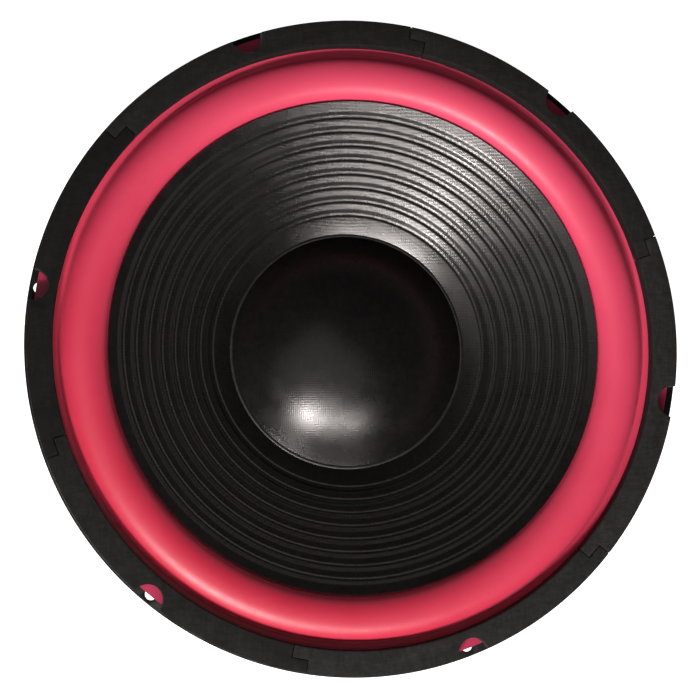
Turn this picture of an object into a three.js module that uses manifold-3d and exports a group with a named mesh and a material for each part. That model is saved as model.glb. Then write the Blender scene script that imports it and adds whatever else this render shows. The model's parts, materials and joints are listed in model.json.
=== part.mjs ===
// Twelve-inch car subwoofer driver with a stamped basket, lying on its magnet and facing up.
// Millimetres, +Z towards the listener, origin at the centre of the back of the rubber boot.
import * as THREE from 'three';
import { mergeVertices } from 'three/addons/utils/BufferGeometryUtils.js';
import Module from 'manifold-3d';

const wasm = await Module();
wasm.setup();

// ---------------------------------------------------------------- driving dimensions

const RAD = Math.PI / 180;
const GAP = 0.3; // air between two pieces that touch on the real driver

const OUTER_R = 155; // edge of the basket flange
const FRONT_Z = 139.2; // front face of the gasket
const STEEL = 1.5; // basket sheet thickness
const FLANGE_TOP_Z = 130;
const FLANGE_TURN_DOWN = 3.2; // how far the flange's outer edge is turned down
const BASKET_BORE_R = 29.5;

const BOLT_COUNT = 6;
const BOLT_CIRCLE_R = 150.5;
const BOLT_HOLE_R = 2.75;
const BOLT_ANGLE = -9.5; // direction of the first mounting screw, degrees
const SECTOR = 360 / BOLT_COUNT;
const LEG_ANGLE = BOLT_ANGLE + SECTOR / 2; // the basket legs stand between the screws

const GASKET_OUTER_R = 154.2;
const GASKET_INNER_R = 142.2;
const GASKET_LAP_R = 148.25; // radius where the stepped ends of two segments overlap
const GASKET_JOINT_ANGLE = 19.2;
const GASKET_LAP_HALF_ANGLE = 1.5;
const NOTCH_HALF_WIDTH = 7.4;
const NOTCH_DEPTH = 7.6;

const FOAM = 0.9; // surround thickness
const SURROUND_OUTER_R = 151.5;
const ROLL_OUTER_R = 138.6;
const ROLL_INNER_R = 117.8;
const ROLL_HEIGHT = 7.8;
const SURROUND_LIP_R = 114;

const PAPER = 0.9; // cone thickness
const CONE_EDGE_R = 116.5;
const CONE_SLOPE = 0.532;
const CONE_NECK_R = 26.5;
const RIB_COUNT = 9;
const RIB_OUTER_R = 111.3; // radius of the outermost groove
const RIB_PITCH = 6.22;
const RIB_HEIGHT = 0.8;

const CAP_R = 55.9;
const CAP_RISE = 21.5;
const CAP_BASE_Z = 101.2;
const CAP_THICK = 0.8;

const BOOT_R = 73;
const BOOT_FLOOR = 2.5;
const BOOT_OPENING_R = 52; // the back plate shows through it
const BOOT_LIP_R = 64; // inner edge of the lip that holds the magnet
const BOOT_LIP_THICK = 1.6;
const BOOT_SLACK = 0.4;
const BOOT_CHAMFER = 1;
const PLATE_R = 62;
const PLATE_THICK = 8;
const POLE_R = 24.8;
const VENT_R = 9;
const SCREEN_SEAT_R = 13;
const SCREEN_SEAT_DEPTH = 2.2;
const SCREEN_HOLE_CIRCLE_R = 6;
const SCREEN_HOLE_R = 1.9;
const SCREEN_HOLE_COUNT = 6;
const MAGNET_R = 70;
const MAGNET_BORE_R = 31;
const MAGNET_THICK = 20;
const TOP_PLATE_R = 60;
const TOP_PLATE_BORE_R = 27.8;
const TOP_PLATE_THICK = 7;

const FORMER_R = 25.4;
const FORMER_WALL = 0.4;
const WINDING_LENGTH = 16;
const WINDING_THICK = 0.9;

const SPIDER_THICK = 0.6;
const SPIDER_OUTER_R = 82;
const SPIDER_RIM_R = 75; // inner edge of the glued rim
const SPIDER_FIRST_FOLD_R = 70;
const SPIDER_FOLD_STEP = 5;
const SPIDER_FOLD_COUNT = 8;
const SPIDER_SWING = 2.1; // half the height of the folds
const SHELF_Z = 63.5; // middle of the sheet where the spider is glued down

const LEG_HALF_WIDTH = 11;
const LEG_LOW = new THREE.Vector2(88, 66); // radius and height where the legs begin
const LEG_HIGH = new THREE.Vector2(133, 109);
const WINDOW_INNER_R = 91;
const WINDOW_OUTER_R = 130;

const RIVET_COUNT = 4;
const RIVET_CIRCLE_R = 50;
const RIVET_SHANK_R = 2.3;
const RIVET_HEAD_R = 4.2;
const RIVET_HEAD_HEIGHT = 2.2;

const TERMINAL_ANGLE = LEG_ANGLE - 2 * SECTOR; // the leg that carries the terminals
const POST_SPREAD = 16; // each post's distance from the leg's centre line
const POST_R = 2.2;
const BUTTON_TRAVEL = 4;
const EYELET_R = 44; // radius of the lead eyelets in the cone
const EYELET_ANGLE = 16; // each eyelet's angle from the terminal leg
const TINSEL_R = 1.1;

const MEDIUM = 40; // sides of the large rings
const COARSE = 36;
const SMALL = 12;

// heights of the motor stack, worked up from the boot's floor
const PLATE_Z = BOOT_FLOOR + GAP;
const MAGNET_Z = PLATE_Z + PLATE_THICK + GAP;
const TOP_PLATE_Z = MAGNET_Z + MAGNET_THICK + GAP;
const POLE_TOP_Z = TOP_PLATE_Z + TOP_PLATE_THICK;
const BASKET_FLOOR_Z = POLE_TOP_Z + GAP + STEEL / 2;
const WINDING_Z = TOP_PLATE_Z + TOP_PLATE_THICK / 2 - WINDING_LENGTH / 2;

const SURROUND_Z = FLANGE_TOP_Z + GAP + FOAM / 2; // middle of the surround's flat flange
const GASKET_Z = SURROUND_Z + FOAM / 2 + GAP;
const CONE_LIP_Z = SURROUND_Z + FOAM / 2 + GAP + PAPER / 2;

// ---------------------------------------------------------------- geometry helpers

// Point at a radius, an angle in degrees and a height.
function polar(radius, degrees, z = 0) {
  return new THREE.Vector3(radius * Math.cos(degrees * RAD), radius * Math.sin(degrees * RAD), z);
}

// Closed three.js geometry as a manifold solid.
function toSolid(geometry) {
  const bare = geometry.clone();
  bare.deleteAttribute('normal');
  bare.deleteAttribute('uv');
  const merged = mergeVertices(bare, 1e-4);
  const index = merged.getIndex().array;
  const triangles = [];
  for (let i = 0; i < index.length; i += 3) {
    const [a, b, c] = [index[i], index[i + 1], index[i + 2]];
    if (a !== b && b !== c && c !== a) {
      triangles.push(a, b, c);
    }
  }
  const mesh = new wasm.Mesh({
    numProp: 3,
    vertProperties: new Float32Array(merged.getAttribute('position').array),
    triVerts: new Uint32Array(triangles),
  });
  return new wasm.Manifold(mesh);
}

function toGeometry(solid) {
  const mesh = solid.getMesh();
  const geometry = new THREE.BufferGeometry();
  geometry.setAttribute('position', new THREE.BufferAttribute(new Float32Array(mesh.vertProperties), 3));
  geometry.setIndex(new THREE.BufferAttribute(new Uint32Array(mesh.triVerts), 1));
  return geometry;
}

// Solid of revolution about Z from an outline of (radius, height) points.
function revolve(outline, sides, closed = true) {
  const points = outline.map(([radius, z]) => new THREE.Vector2(radius, z));
  if (THREE.ShapeUtils.isClockWise(points)) {
    points.reverse();
  }
  if (closed) {
    points.push(points[0].clone());
  }
  const geometry = new THREE.LatheGeometry(points, sides);
  geometry.rotateX(Math.PI / 2);
  return toSolid(geometry);
}

// Outline of a sheet of even thickness whose middle follows a path of (radius, height) points.
function sheet(path, thickness) {
  const middle = path.map(([radius, z]) => new THREE.Vector2(radius, z));
  const front = [];
  const back = [];
  middle.forEach((point, i) => {
    const next = middle[i + 1];
    const last = middle[i - 1];
    const outgoing = next ? next.clone().sub(point).normalize() : point.clone().sub(last).normalize();
    const incoming = last ? point.clone().sub(last).normalize() : outgoing;
    const along = incoming.clone().add(outgoing).normalize();
    const across = new THREE.Vector2(-along.y, along.x);
    across.multiplyScalar(thickness / 2 / along.dot(incoming));
    front.push([point.x + across.x, point.y + across.y]);
    back.unshift([point.x - across.x, point.y - across.y]);
  });
  return front.concat(back);
}

// Upright prism of a flat shape, from one height to another.
function prism(shape, low, high) {
  const geometry = new THREE.ExtrudeGeometry(shape, {
    depth: high - low,
    steps: 1,
    bevelEnabled: false,
    curveSegments: 3,
  });
  geometry.translate(0, 0, low);
  return toSolid(geometry);
}

function rod(radius, low, high, sides = SMALL) {
  const geometry = new THREE.CylinderGeometry(radius, radius, high - low, sides);
  geometry.rotateX(Math.PI / 2);
  geometry.translate(0, 0, (low + high) / 2);
  return toSolid(geometry);
}

// The same solid after a three.js transform.
function placed(solid, matrix) {
  return toSolid(toGeometry(solid).applyMatrix4(matrix));
}

function shifted(solid, x, y, z) {
  return placed(solid, new THREE.Matrix4().makeTranslation(x, y, z));
}

function turned(solid, degrees) {
  return placed(solid, new THREE.Matrix4().makeRotationZ(degrees * RAD));
}

// The same solid at several angles about Z, joined.
function around(solid, count, firstAngle) {
  let all = turned(solid, firstAngle);
  for (let i = 1; i < count; i += 1) {
    all = all.add(turned(solid, firstAngle + (i * 360) / count));
  }
  return all;
}

function tube(points, radius, steps, sides) {
  const section = new THREE.Shape();
  for (let i = 0; i < sides; i += 1) {
    const angle = (i / sides) * 2 * Math.PI;
    const point = new THREE.Vector2(radius * Math.cos(angle), radius * Math.sin(angle));
    if (i === 0) {
      section.moveTo(point.x, point.y);
    } else {
      section.lineTo(point.x, point.y);
    }
  }
  const path = new THREE.CatmullRomCurve3(points);
  return toSolid(new THREE.ExtrudeGeometry(section, { steps, extrudePath: path, bevelEnabled: false }));
}

// ---------------------------------------------------------------- motor

function magnetBoot() {
  const inner = MAGNET_R + BOOT_SLACK;
  const lip = MAGNET_Z + MAGNET_THICK + GAP;
  const top = lip + BOOT_LIP_THICK;
  return revolve([
    [BOOT_OPENING_R, 0], [BOOT_R - BOOT_CHAMFER, 0], [BOOT_R, BOOT_CHAMFER],
    [BOOT_R, top - BOOT_CHAMFER], [BOOT_R - BOOT_CHAMFER, top], [BOOT_LIP_R, top],
    [BOOT_LIP_R, lip], [inner, lip], [inner, BOOT_FLOOR], [BOOT_OPENING_R, BOOT_FLOOR],
  ], MEDIUM);
}

// Back plate and vented pole forged in one piece.
function yoke() {
  const plateTop = PLATE_Z + PLATE_THICK;
  const seat = PLATE_Z + SCREEN_SEAT_DEPTH;
  return revolve([
    [SCREEN_SEAT_R, PLATE_Z], [PLATE_R - 2, PLATE_Z], [PLATE_R, PLATE_Z + 2], [PLATE_R, plateTop],
    [POLE_R, plateTop], [POLE_R, POLE_TOP_Z - 1], [POLE_R - 1, POLE_TOP_Z], [VENT_R + 2, POLE_TOP_Z],
    [VENT_R, POLE_TOP_Z - 2], [VENT_R, seat], [SCREEN_SEAT_R, seat],
  ], MEDIUM);
}

function ventScreen() {
  const top = PLATE_Z + SCREEN_SEAT_DEPTH - GAP;
  const disc = rod(SCREEN_SEAT_R - 0.5, top - 1, top, 24);
  const hole = rod(SCREEN_HOLE_R, top - 2, top + 1, 8);
  const holes = around(shifted(hole, SCREEN_HOLE_CIRCLE_R, 0, 0), SCREEN_HOLE_COUNT, 0);
  return disc.subtract(hole).subtract(holes);
}

function magnet() {
  const top = MAGNET_Z + MAGNET_THICK;
  return revolve([
    [MAGNET_BORE_R, MAGNET_Z], [MAGNET_R - 1, MAGNET_Z], [MAGNET_R, MAGNET_Z + 1], [MAGNET_R, top - 1],
    [MAGNET_R - 1, top], [MAGNET_BORE_R, top],
  ], MEDIUM);
}

function rivetHoles() {
  const hole = rod(RIVET_SHANK_R + GAP, TOP_PLATE_Z - 1, BASKET_FLOOR_Z + 2);
  return around(shifted(hole, RIVET_CIRCLE_R, 0, 0), RIVET_COUNT, LEG_ANGLE);
}

function topPlate() {
  const top = TOP_PLATE_Z + TOP_PLATE_THICK;
  const ring = revolve([
    [TOP_PLATE_BORE_R, TOP_PLATE_Z], [TOP_PLATE_R, TOP_PLATE_Z], [TOP_PLATE_R, top], [TOP_PLATE_BORE_R, top],
  ], MEDIUM);
  return ring.subtract(rivetHoles());
}

// Rivet with a swaged head that holds the basket on the top plate.
function basketRivet(degrees) {
  const seat = BASKET_FLOOR_Z + STEEL / 2 + GAP;
  const foot = TOP_PLATE_Z + 0.5;
  const top = seat + RIVET_HEAD_HEIGHT;
  const rivet = revolve([
    [0, foot], [RIVET_SHANK_R, foot], [RIVET_SHANK_R, seat], [RIVET_HEAD_R, seat],
    [RIVET_HEAD_R, seat + 1], [RIVET_HEAD_R - 1.6, top], [0, top],
  ], SMALL, false);
  return turned(shifted(rivet, RIVET_CIRCLE_R, 0, 0), degrees);
}

// ---------------------------------------------------------------- basket

// Plan outline of the opening between two legs: parallel to both legs, rounded at the corners.
function windowShape() {
  const corner = 7;
  const inner = SECTOR / 2 - Math.asin(LEG_HALF_WIDTH / WINDOW_INNER_R) / RAD;
  const outer = SECTOR / 2 - Math.asin(LEG_HALF_WIDTH / WINDOW_OUTER_R) / RAD;
  const corners = [
    polar(WINDOW_INNER_R, -inner),
    polar(WINDOW_OUTER_R, -outer),
    polar(WINDOW_OUTER_R, outer),
    polar(WINDOW_INNER_R, inner),
  ];
  const shape = new THREE.Shape();
  const innerTrim = (corner / WINDOW_INNER_R) / RAD;
  const outerTrim = (corner / WINDOW_OUTER_R) / RAD;
  const lower = corners[0].clone().lerp(corners[1], corner / (WINDOW_OUTER_R - WINDOW_INNER_R));
  const lowerEnd = corners[1].clone().lerp(corners[0], corner / (WINDOW_OUTER_R - WINDOW_INNER_R));
  const upper = corners[2].clone().lerp(corners[3], corner / (WINDOW_OUTER_R - WINDOW_INNER_R));
  const upperEnd = corners[3].clone().lerp(corners[2], corner / (WINDOW_OUTER_R - WINDOW_INNER_R));
  shape.moveTo(lower.x, lower.y);
  shape.lineTo(lowerEnd.x, lowerEnd.y);
  const arcStart = polar(WINDOW_OUTER_R, -outer + outerTrim);
  shape.quadraticCurveTo(corners[1].x, corners[1].y, arcStart.x, arcStart.y);
  shape.absarc(0, 0, WINDOW_OUTER_R, (-outer + outerTrim) * RAD, (outer - outerTrim) * RAD, false);
  shape.quadraticCurveTo(corners[2].x, corners[2].y, upper.x, upper.y);
  shape.lineTo(upperEnd.x, upperEnd.y);
  const backStart = polar(WINDOW_INNER_R, inner - innerTrim);
  shape.quadraticCurveTo(corners[3].x, corners[3].y, backStart.x, backStart.y);
  shape.absarc(0, 0, WINDOW_INNER_R, (inner - innerTrim) * RAD, (-inner + innerTrim) * RAD, true);
  shape.quadraticCurveTo(corners[0].x, corners[0].y, lower.x, lower.y);
  return shape;
}

function basket() {
  const flangeZ = FLANGE_TOP_Z - STEEL / 2;
  const rimR = OUTER_R - STEEL / 2;
  const shell = revolve(sheet([
    [BASKET_BORE_R, BASKET_FLOOR_Z], [60, BASKET_FLOOR_Z], [66, BASKET_FLOOR_Z + 4.5], [68.5, SHELF_Z],
    [84, SHELF_Z], [LEG_LOW.x, LEG_LOW.y], [LEG_HIGH.x, LEG_HIGH.y], [137.6, 116],
    [138.6, flangeZ - 2], [140.5, flangeZ], [rimR, flangeZ], [rimR, flangeZ - FLANGE_TURN_DOWN],
  ], STEEL), MEDIUM);
  const opening = prism(windowShape(), SHELF_Z + STEEL, FLANGE_TOP_Z - 12);
  const bolt = shifted(rod(BOLT_HOLE_R, FLANGE_TOP_Z - 6, FLANGE_TOP_Z + 2), BOLT_CIRCLE_R, 0, 0);
  return shell
    .subtract(around(opening, BOLT_COUNT, BOLT_ANGLE))
    .subtract(around(bolt, BOLT_COUNT, BOLT_ANGLE))
    .subtract(rivetHoles());
}

// ---------------------------------------------------------------- gasket

// One of six segments: its ends step past the next segments' ends, and a screw notch opens its outer edge.
function gasketSegment(firstJoint) {
  const slack = GAP / 2 / GASKET_LAP_R / RAD;
  const start = firstJoint + slack;
  const end = firstJoint + SECTOR - slack;
  const lap = GASKET_LAP_HALF_ANGLE;
  const middle = BOLT_ANGLE + SECTOR * Math.round((firstJoint + SECTOR / 2 - BOLT_ANGLE) / SECTOR);
  const notchHalf = Math.asin(NOTCH_HALF_WIDTH / GASKET_OUTER_R) / RAD;
  const outline = [];
  const arc = (radius, from, to, parts) => {
    for (let i = 0; i <= parts; i += 1) {
      outline.push(polar(radius, from + ((to - from) * i) / parts));
    }
  };
  arc(GASKET_INNER_R, start - lap, end - lap, 10);
  arc(GASKET_LAP_R + GAP / 2, end - lap, end + lap, 1);
  arc(GASKET_OUTER_R, end + lap, middle + notchHalf, 5);
  const radial = polar(1, middle);
  const tangent = polar(1, middle + 90);
  const mouth = GASKET_OUTER_R * Math.cos(notchHalf * RAD);
  const parts = 10;
  for (let i = 1; i < parts; i += 1) {
    const angle = (i / parts) * Math.PI;
    const point = radial.clone().multiplyScalar(mouth - NOTCH_DEPTH * Math.sin(angle));
    outline.push(point.addScaledVector(tangent, NOTCH_HALF_WIDTH * Math.cos(angle)));
  }
  arc(GASKET_OUTER_R, middle - notchHalf, start + lap, 5);
  arc(GASKET_LAP_R - GAP / 2, start + lap, start - lap, 1);
  const shape = new THREE.Shape(outline.map((point) => new THREE.Vector2(point.x, point.y)));
  return prism(shape, GASKET_Z, FRONT_Z);
}

// ---------------------------------------------------------------- moving assembly

// Height of the middle of the cone paper at a radius, without its ribs.
function coneZ(radius) {
  return CONE_LIP_Z - CONE_SLOPE * (CONE_EDGE_R - radius);
}

// Plain edge, nine round ribs and a smooth neck.
function cone() {
  const path = [[CONE_EDGE_R, CONE_LIP_Z]];
  for (let i = 0; i < 2 * RIB_COUNT; i += 1) {
    const radius = RIB_OUTER_R - (i * RIB_PITCH) / 2;
    const side = i % 2 === 0 ? -1 : 1;
    path.push([radius, coneZ(radius) + side * RIB_HEIGHT]);
  }
  path.push([CAP_R + 2, coneZ(CAP_R + 2)], [CONE_NECK_R, coneZ(CONE_NECK_R)]);
  let shell = revolve(sheet(path, PAPER), COARSE);
  for (const side of [-1, 1]) {
    const hole = eyeletPlaced(rod(2.4, -4, 4, 8), side);
    shell = shell.subtract(hole);
  }
  return shell;
}

// Moves a solid built along Z onto the cone wall at a lead eyelet, square to the paper.
function eyeletPlaced(solid, side) {
  const lean = new THREE.Matrix4().makeRotationY(-Math.atan(CONE_SLOPE));
  const out = new THREE.Matrix4().makeTranslation(EYELET_R, 0, coneZ(EYELET_R));
  const turn = new THREE.Matrix4().makeRotationZ((TERMINAL_ANGLE + side * EYELET_ANGLE) * RAD);
  return placed(solid, turn.multiply(out).multiply(lean));
}

function leadEyelet(side) {
  const face = PAPER / 2 + GAP;
  const rivet = revolve([
    [0, -face - 1], [2.6, -face - 1], [3.2, -face - 0.5], [3.2, -face], [2, -face], [2, face],
    [3.2, face], [2.6, face + 0.6], [0, face + 0.6],
  ], 8, false);
  return eyeletPlaced(rivet, side);
}

// Shallow spherical cap.
function dustCap() {
  const sphereR = (CAP_R ** 2 + CAP_RISE ** 2) / (2 * CAP_RISE);
  const edgeAngle = Math.asin(CAP_R / sphereR);
  const parts = 6;
  const surface = (radius, reverse) => {
    const points = [];
    for (let i = 0; i <= parts; i += 1) {
      const angle = (edgeAngle * (reverse ? parts - i : i)) / parts;
      points.push([radius * Math.sin(angle), CAP_BASE_Z + CAP_RISE - sphereR + radius * Math.cos(angle)]);
    }
    return points;
  };
  const outline = surface(sphereR, false).concat(surface(sphereR - CAP_THICK, true));
  return revolve(outline, COARSE, false);
}

// Half roll between a flat flange and a lip that is glued under the cone's edge.
function surround() {
  const path = [[SURROUND_OUTER_R, SURROUND_Z], [ROLL_OUTER_R + 1.2, SURROUND_Z]];
  const centre = (ROLL_OUTER_R + ROLL_INNER_R) / 2;
  const halfWidth = (ROLL_OUTER_R - ROLL_INNER_R) / 2;
  const parts = 8;
  for (let i = 0; i < parts; i += 1) {
    const angle = ((i + 0.5) / parts) * Math.PI;
    path.push([centre + halfWidth * Math.cos(angle), SURROUND_Z + ROLL_HEIGHT * Math.sin(angle)]);
  }
  const lipTopR = ROLL_INNER_R - 0.6;
  path.push([lipTopR, SURROUND_Z]);
  path.push([SURROUND_LIP_R, SURROUND_Z - CONE_SLOPE * (lipTopR - SURROUND_LIP_R)]);
  return revolve(sheet(path, FOAM), COARSE);
}

// Corrugated cloth disc that centres the coil.
function spider() {
  const rimZ = SHELF_Z + STEEL / 2 + GAP + SPIDER_THICK / 2;
  const middleZ = rimZ + SPIDER_SWING + GAP;
  const path = [[SPIDER_OUTER_R, rimZ], [SPIDER_RIM_R, rimZ]];
  for (let i = 0; i < SPIDER_FOLD_COUNT; i += 1) {
    const side = i % 2 === 0 ? 1 : -1;
    path.push([SPIDER_FIRST_FOLD_R - i * SPIDER_FOLD_STEP, middleZ + side * SPIDER_SWING]);
  }
  const innerR = FORMER_R + FORMER_WALL + 2 * GAP;
  path.push([innerR + 3.4, middleZ], [innerR, middleZ]);
  return revolve(sheet(path, SPIDER_THICK), 30);
}

function ring(innerR, outerR, low, high) {
  return revolve([[innerR, low], [outerR, low], [outerR, high], [innerR, high]], COARSE);
}

function former() {
  return ring(FORMER_R, FORMER_R + FORMER_WALL, WINDING_Z - 0.5, coneZ(CONE_NECK_R) + 1.5);
}

function winding() {
  const inner = FORMER_R + FORMER_WALL + GAP;
  return ring(inner, inner + WINDING_THICK, WINDING_Z, WINDING_Z + WINDING_LENGTH);
}

// ---------------------------------------------------------------- terminals
// These are built with X along the basket rim, Y up the leg and Z straight out of the leg's face.

const LEG_MIDDLE = LEG_LOW.clone().add(LEG_HIGH).multiplyScalar(0.5);
const LEG_SLOPE = Math.atan2(LEG_HIGH.y - LEG_LOW.y, LEG_HIGH.x - LEG_LOW.x);
const BOARD_Z = GAP;
const BOARD_THICK = 3;
const BOSS_Z = BOARD_Z + BOARD_THICK + 3;
const BUTTON_Z = BOSS_Z + GAP + BUTTON_TRAVEL;
const BUTTON_LENGTH = 8;
const BUTTON_R = 5.5;
const SPRING_BORE_R = 4.2;
const HEAD_Z = BUTTON_Z + BUTTON_LENGTH + GAP;
const TAB_END_Z = -9;

// Frame of the terminal leg's outer face.
function terminalMatrix() {
  const along = polar(1, TERMINAL_ANGLE + 90);
  const radial = polar(1, TERMINAL_ANGLE);
  const up = radial.clone().multiplyScalar(Math.cos(LEG_SLOPE)).setZ(Math.sin(LEG_SLOPE));
  const outward = radial.clone().multiplyScalar(Math.sin(LEG_SLOPE)).setZ(-Math.cos(LEG_SLOPE));
  const origin = polar(LEG_MIDDLE.x, TERMINAL_ANGLE, LEG_MIDDLE.y).addScaledVector(outward, STEEL / 2);
  return new THREE.Matrix4().makeBasis(along, up, outward).setPosition(origin);
}

function roundedPlate(width, height, corner, low, high) {
  const shape = new THREE.Shape();
  const x = width / 2;
  const y = height / 2;
  shape.moveTo(-x + corner, -y);
  shape.lineTo(x - corner, -y);
  shape.quadraticCurveTo(x, -y, x, -y + corner);
  shape.lineTo(x, y - corner);
  shape.quadraticCurveTo(x, y, x - corner, y);
  shape.lineTo(-x + corner, y);
  shape.quadraticCurveTo(-x, y, -x, y - corner);
  shape.lineTo(-x, -y + corner);
  shape.quadraticCurveTo(-x, -y, -x + corner, -y);
  return prism(shape, low, high);
}

const BOARD_RIVET_Y = 7;
const BOARD_RIVET_R = 1.6;

function boardRivetHoles(low, high) {
  const hole = rod(BOARD_RIVET_R + GAP, low, high, 8);
  return shifted(hole, 0, BOARD_RIVET_Y, 0).add(shifted(hole, 0, -BOARD_RIVET_Y, 0));
}

function terminalBoard() {
  let board = roundedPlate(50, 22, 3, BOARD_Z, BOARD_Z + BOARD_THICK);
  for (const side of [-1, 1]) {
    const boss = rod(6.2, BOARD_Z + 1, BOSS_Z, 16);
    const hole = rod(POST_R + GAP, BOARD_Z - 1, BOSS_Z + 1, SMALL);
    board = board.add(shifted(boss, side * POST_SPREAD, 0, 0));
    board = board.subtract(shifted(hole, side * POST_SPREAD, 0, 0));
  }
  return board.subtract(boardRivetHoles(BOARD_Z - 1, BOSS_Z));
}

function boardRivet(side) {
  const out = BOARD_Z + BOARD_THICK + GAP;
  const back = -STEEL - 2 * GAP;
  const rivet = revolve([
    [0, back - 1], [2.8, back - 1], [2.8, back], [BOARD_RIVET_R, back], [BOARD_RIVET_R, out],
    [3, out], [2.4, out + 1], [0, out + 1.4],
  ], 8, false);
  return shifted(rivet, 0, side * BOARD_RIVET_Y, 0);
}

// Post with a wire hole below its head, a collar behind the board and a solder tab.
function terminalPost(side) {
  const post = revolve([
    [0, -1.2], [3.4, -1.2], [3.4, 0], [POST_R, 0], [POST_R, HEAD_Z], [4, HEAD_Z], [4, HEAD_Z + 1],
    [3.4, HEAD_Z + 1.6], [0, HEAD_Z + 1.6],
  ], SMALL, false);
  const tab = new THREE.BoxGeometry(5, 0.8, -TAB_END_Z - 0.6);
  tab.translate(0, 0, (TAB_END_Z - 0.6) / 2);
  const wireHole = new THREE.CylinderGeometry(0.9, 0.9, 10, 8);
  wireHole.translate(0, 0, HEAD_Z - 2);
  return shifted(post.add(toSolid(tab)).subtract(toSolid(wireHole)), side * POST_SPREAD, 0, 0);
}

// Cap that is pressed towards the board to open the wire hole.
function pushButton(side) {
  const top = BUTTON_Z + BUTTON_LENGTH;
  const shoulder = top - 2.4;
  const cap = revolve([
    [SPRING_BORE_R, BUTTON_Z], [BUTTON_R, BUTTON_Z], [BUTTON_R, top - 1], [BUTTON_R - 1, top],
    [POST_R + 0.4, top], [POST_R + 0.4, shoulder], [SPRING_BORE_R, shoulder],
  ], 16);
  return shifted(cap, side * POST_SPREAD, 0, 0);
}

function buttonSpring(side) {
  const wireR = 0.35;
  const coilR = 3.25;
  const turns = 3.5;
  const low = BOSS_Z + GAP + wireR;
  const high = BUTTON_Z + BUTTON_LENGTH - 2.4 - GAP - wireR;
  const points = [];
  for (let i = 0; i <= turns * 8; i += 1) {
    points.push(polar(coilR, i * 45, low + ((high - low) * i) / (turns * 8)));
  }
  return shifted(tube(points, wireR, turns * 8, 6), side * POST_SPREAD, 0, 0);
}

// Braided lead from the solder tab, through the basket window, up to the back of the cone's eyelet.
function tinselLead(side) {
  const tab = new THREE.Vector3(side * POST_SPREAD, 0, TAB_END_Z - GAP);
  const clear = new THREE.Vector3(side * POST_SPREAD, 0, TAB_END_Z - 5);
  const matrix = terminalMatrix();
  tab.applyMatrix4(matrix);
  clear.applyMatrix4(matrix);
  const behind = (distance) => {
    const wall = Math.hypot(1, CONE_SLOPE);
    const radius = EYELET_R + (distance * CONE_SLOPE) / wall;
    return polar(radius, TERMINAL_ANGLE + side * EYELET_ANGLE, coneZ(EYELET_R) - distance / wall);
  };
  return tube([
    tab,
    clear,
    polar(86, TERMINAL_ANGLE + side * 12, 97),
    polar(70, TERMINAL_ANGLE + side * 14, 89),
    polar(56, TERMINAL_ANGLE + side * 16, 83),
    behind(7),
    behind(PAPER / 2 + GAP + 1 + GAP),
  ], TINSEL_R, 14, 8);
}

// ---------------------------------------------------------------- the assembly

const material = (color, roughness, metalness = 0) => new THREE.MeshStandardMaterial({
  color, roughness, metalness,
});

const MATERIALS = {
  blackSteel: material('#17181a', 0.42, 0.3),
  foam: material('#e8415e', 0.55),
  board: material('#2b2a2a', 0.95),
  paper: material('#1a1817', 0.62),
  cap: material('#151414', 0.4),
  ferrite: material('#2d2d2f', 0.7),
  zincSteel: material('#9a9b98', 0.4, 0.9),
  rubber: material('#161616', 0.8),
  cloth: material('#b9832f', 0.85),
  kapton: material('#7a4a1e', 0.45),
  copper: material('#a85a2c', 0.35, 0.9),
  plastic: material('#1c1c1d', 0.5),
  red: material('#b3141c', 0.35),
  black: material('#101011', 0.35),
  nickel: material('#b5b1a6', 0.3, 1),
  braid: material('#b8794f', 0.5, 0.7),
};

const speaker = new THREE.Group();
speaker.name = 'car_subwoofer_driver';

function addPart(name, solid, surface, parent = speaker) {
  const mesh = new THREE.Mesh(toGeometry(solid), surface);
  mesh.name = name;
  parent.add(mesh);
}

addPart('magnet_boot', magnetBoot(), MATERIALS.rubber);
addPart('yoke', yoke(), MATERIALS.zincSteel);
addPart('vent_screen', ventScreen(), MATERIALS.zincSteel);
addPart('magnet', magnet(), MATERIALS.ferrite);
addPart('top_plate', topPlate(), MATERIALS.zincSteel);
for (let i = 0; i < RIVET_COUNT; i += 1) {
  const rivet = basketRivet(LEG_ANGLE + (i * 360) / RIVET_COUNT);
  addPart(`basket_rivet_${i + 1}`, rivet, MATERIALS.zincSteel);
}

const terminals = new THREE.Group();
terminals.applyMatrix4(terminalMatrix());
terminals.updateMatrix();
const legRivetHoles = placed(boardRivetHoles(-STEEL - 2, 2), terminalMatrix());
addPart('basket', basket().subtract(legRivetHoles), MATERIALS.blackSteel);

for (let i = 0; i < BOLT_COUNT; i += 1) {
  const segment = gasketSegment(GASKET_JOINT_ANGLE + i * SECTOR);
  addPart(`gasket_segment_${i + 1}`, segment, MATERIALS.board);
}

addPart('surround', surround(), MATERIALS.foam);
addPart('cone', cone(), MATERIALS.paper);
addPart('dust_cap', dustCap(), MATERIALS.cap);
addPart('spider', spider(), MATERIALS.cloth);
addPart('voice_coil_former', former(), MATERIALS.kapton);
addPart('voice_coil_winding', winding(), MATERIALS.copper);

speaker.add(terminals);
addPart('terminal_board', terminalBoard(), MATERIALS.plastic, terminals);
addPart('terminal_rivet_1', boardRivet(1), MATERIALS.nickel, terminals);
addPart('terminal_rivet_2', boardRivet(-1), MATERIALS.nickel, terminals);

const POLES = [['positive', -1, MATERIALS.red], ['negative', 1, MATERIALS.black]];
for (const [pole, side, colour] of POLES) {
  addPart(`terminal_post_${pole}`, terminalPost(side), MATERIALS.nickel, terminals);
  addPart(`push_button_${pole}`, pushButton(side), colour, terminals);
  addPart(`button_spring_${pole}`, buttonSpring(side), MATERIALS.nickel, terminals);
  addPart(`tinsel_lead_${pole}`, tinselLead(side), MATERIALS.braid);
  addPart(`lead_eyelet_${pole}`, leadEyelet(side), MATERIALS.nickel);
}

export default speaker;
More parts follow.
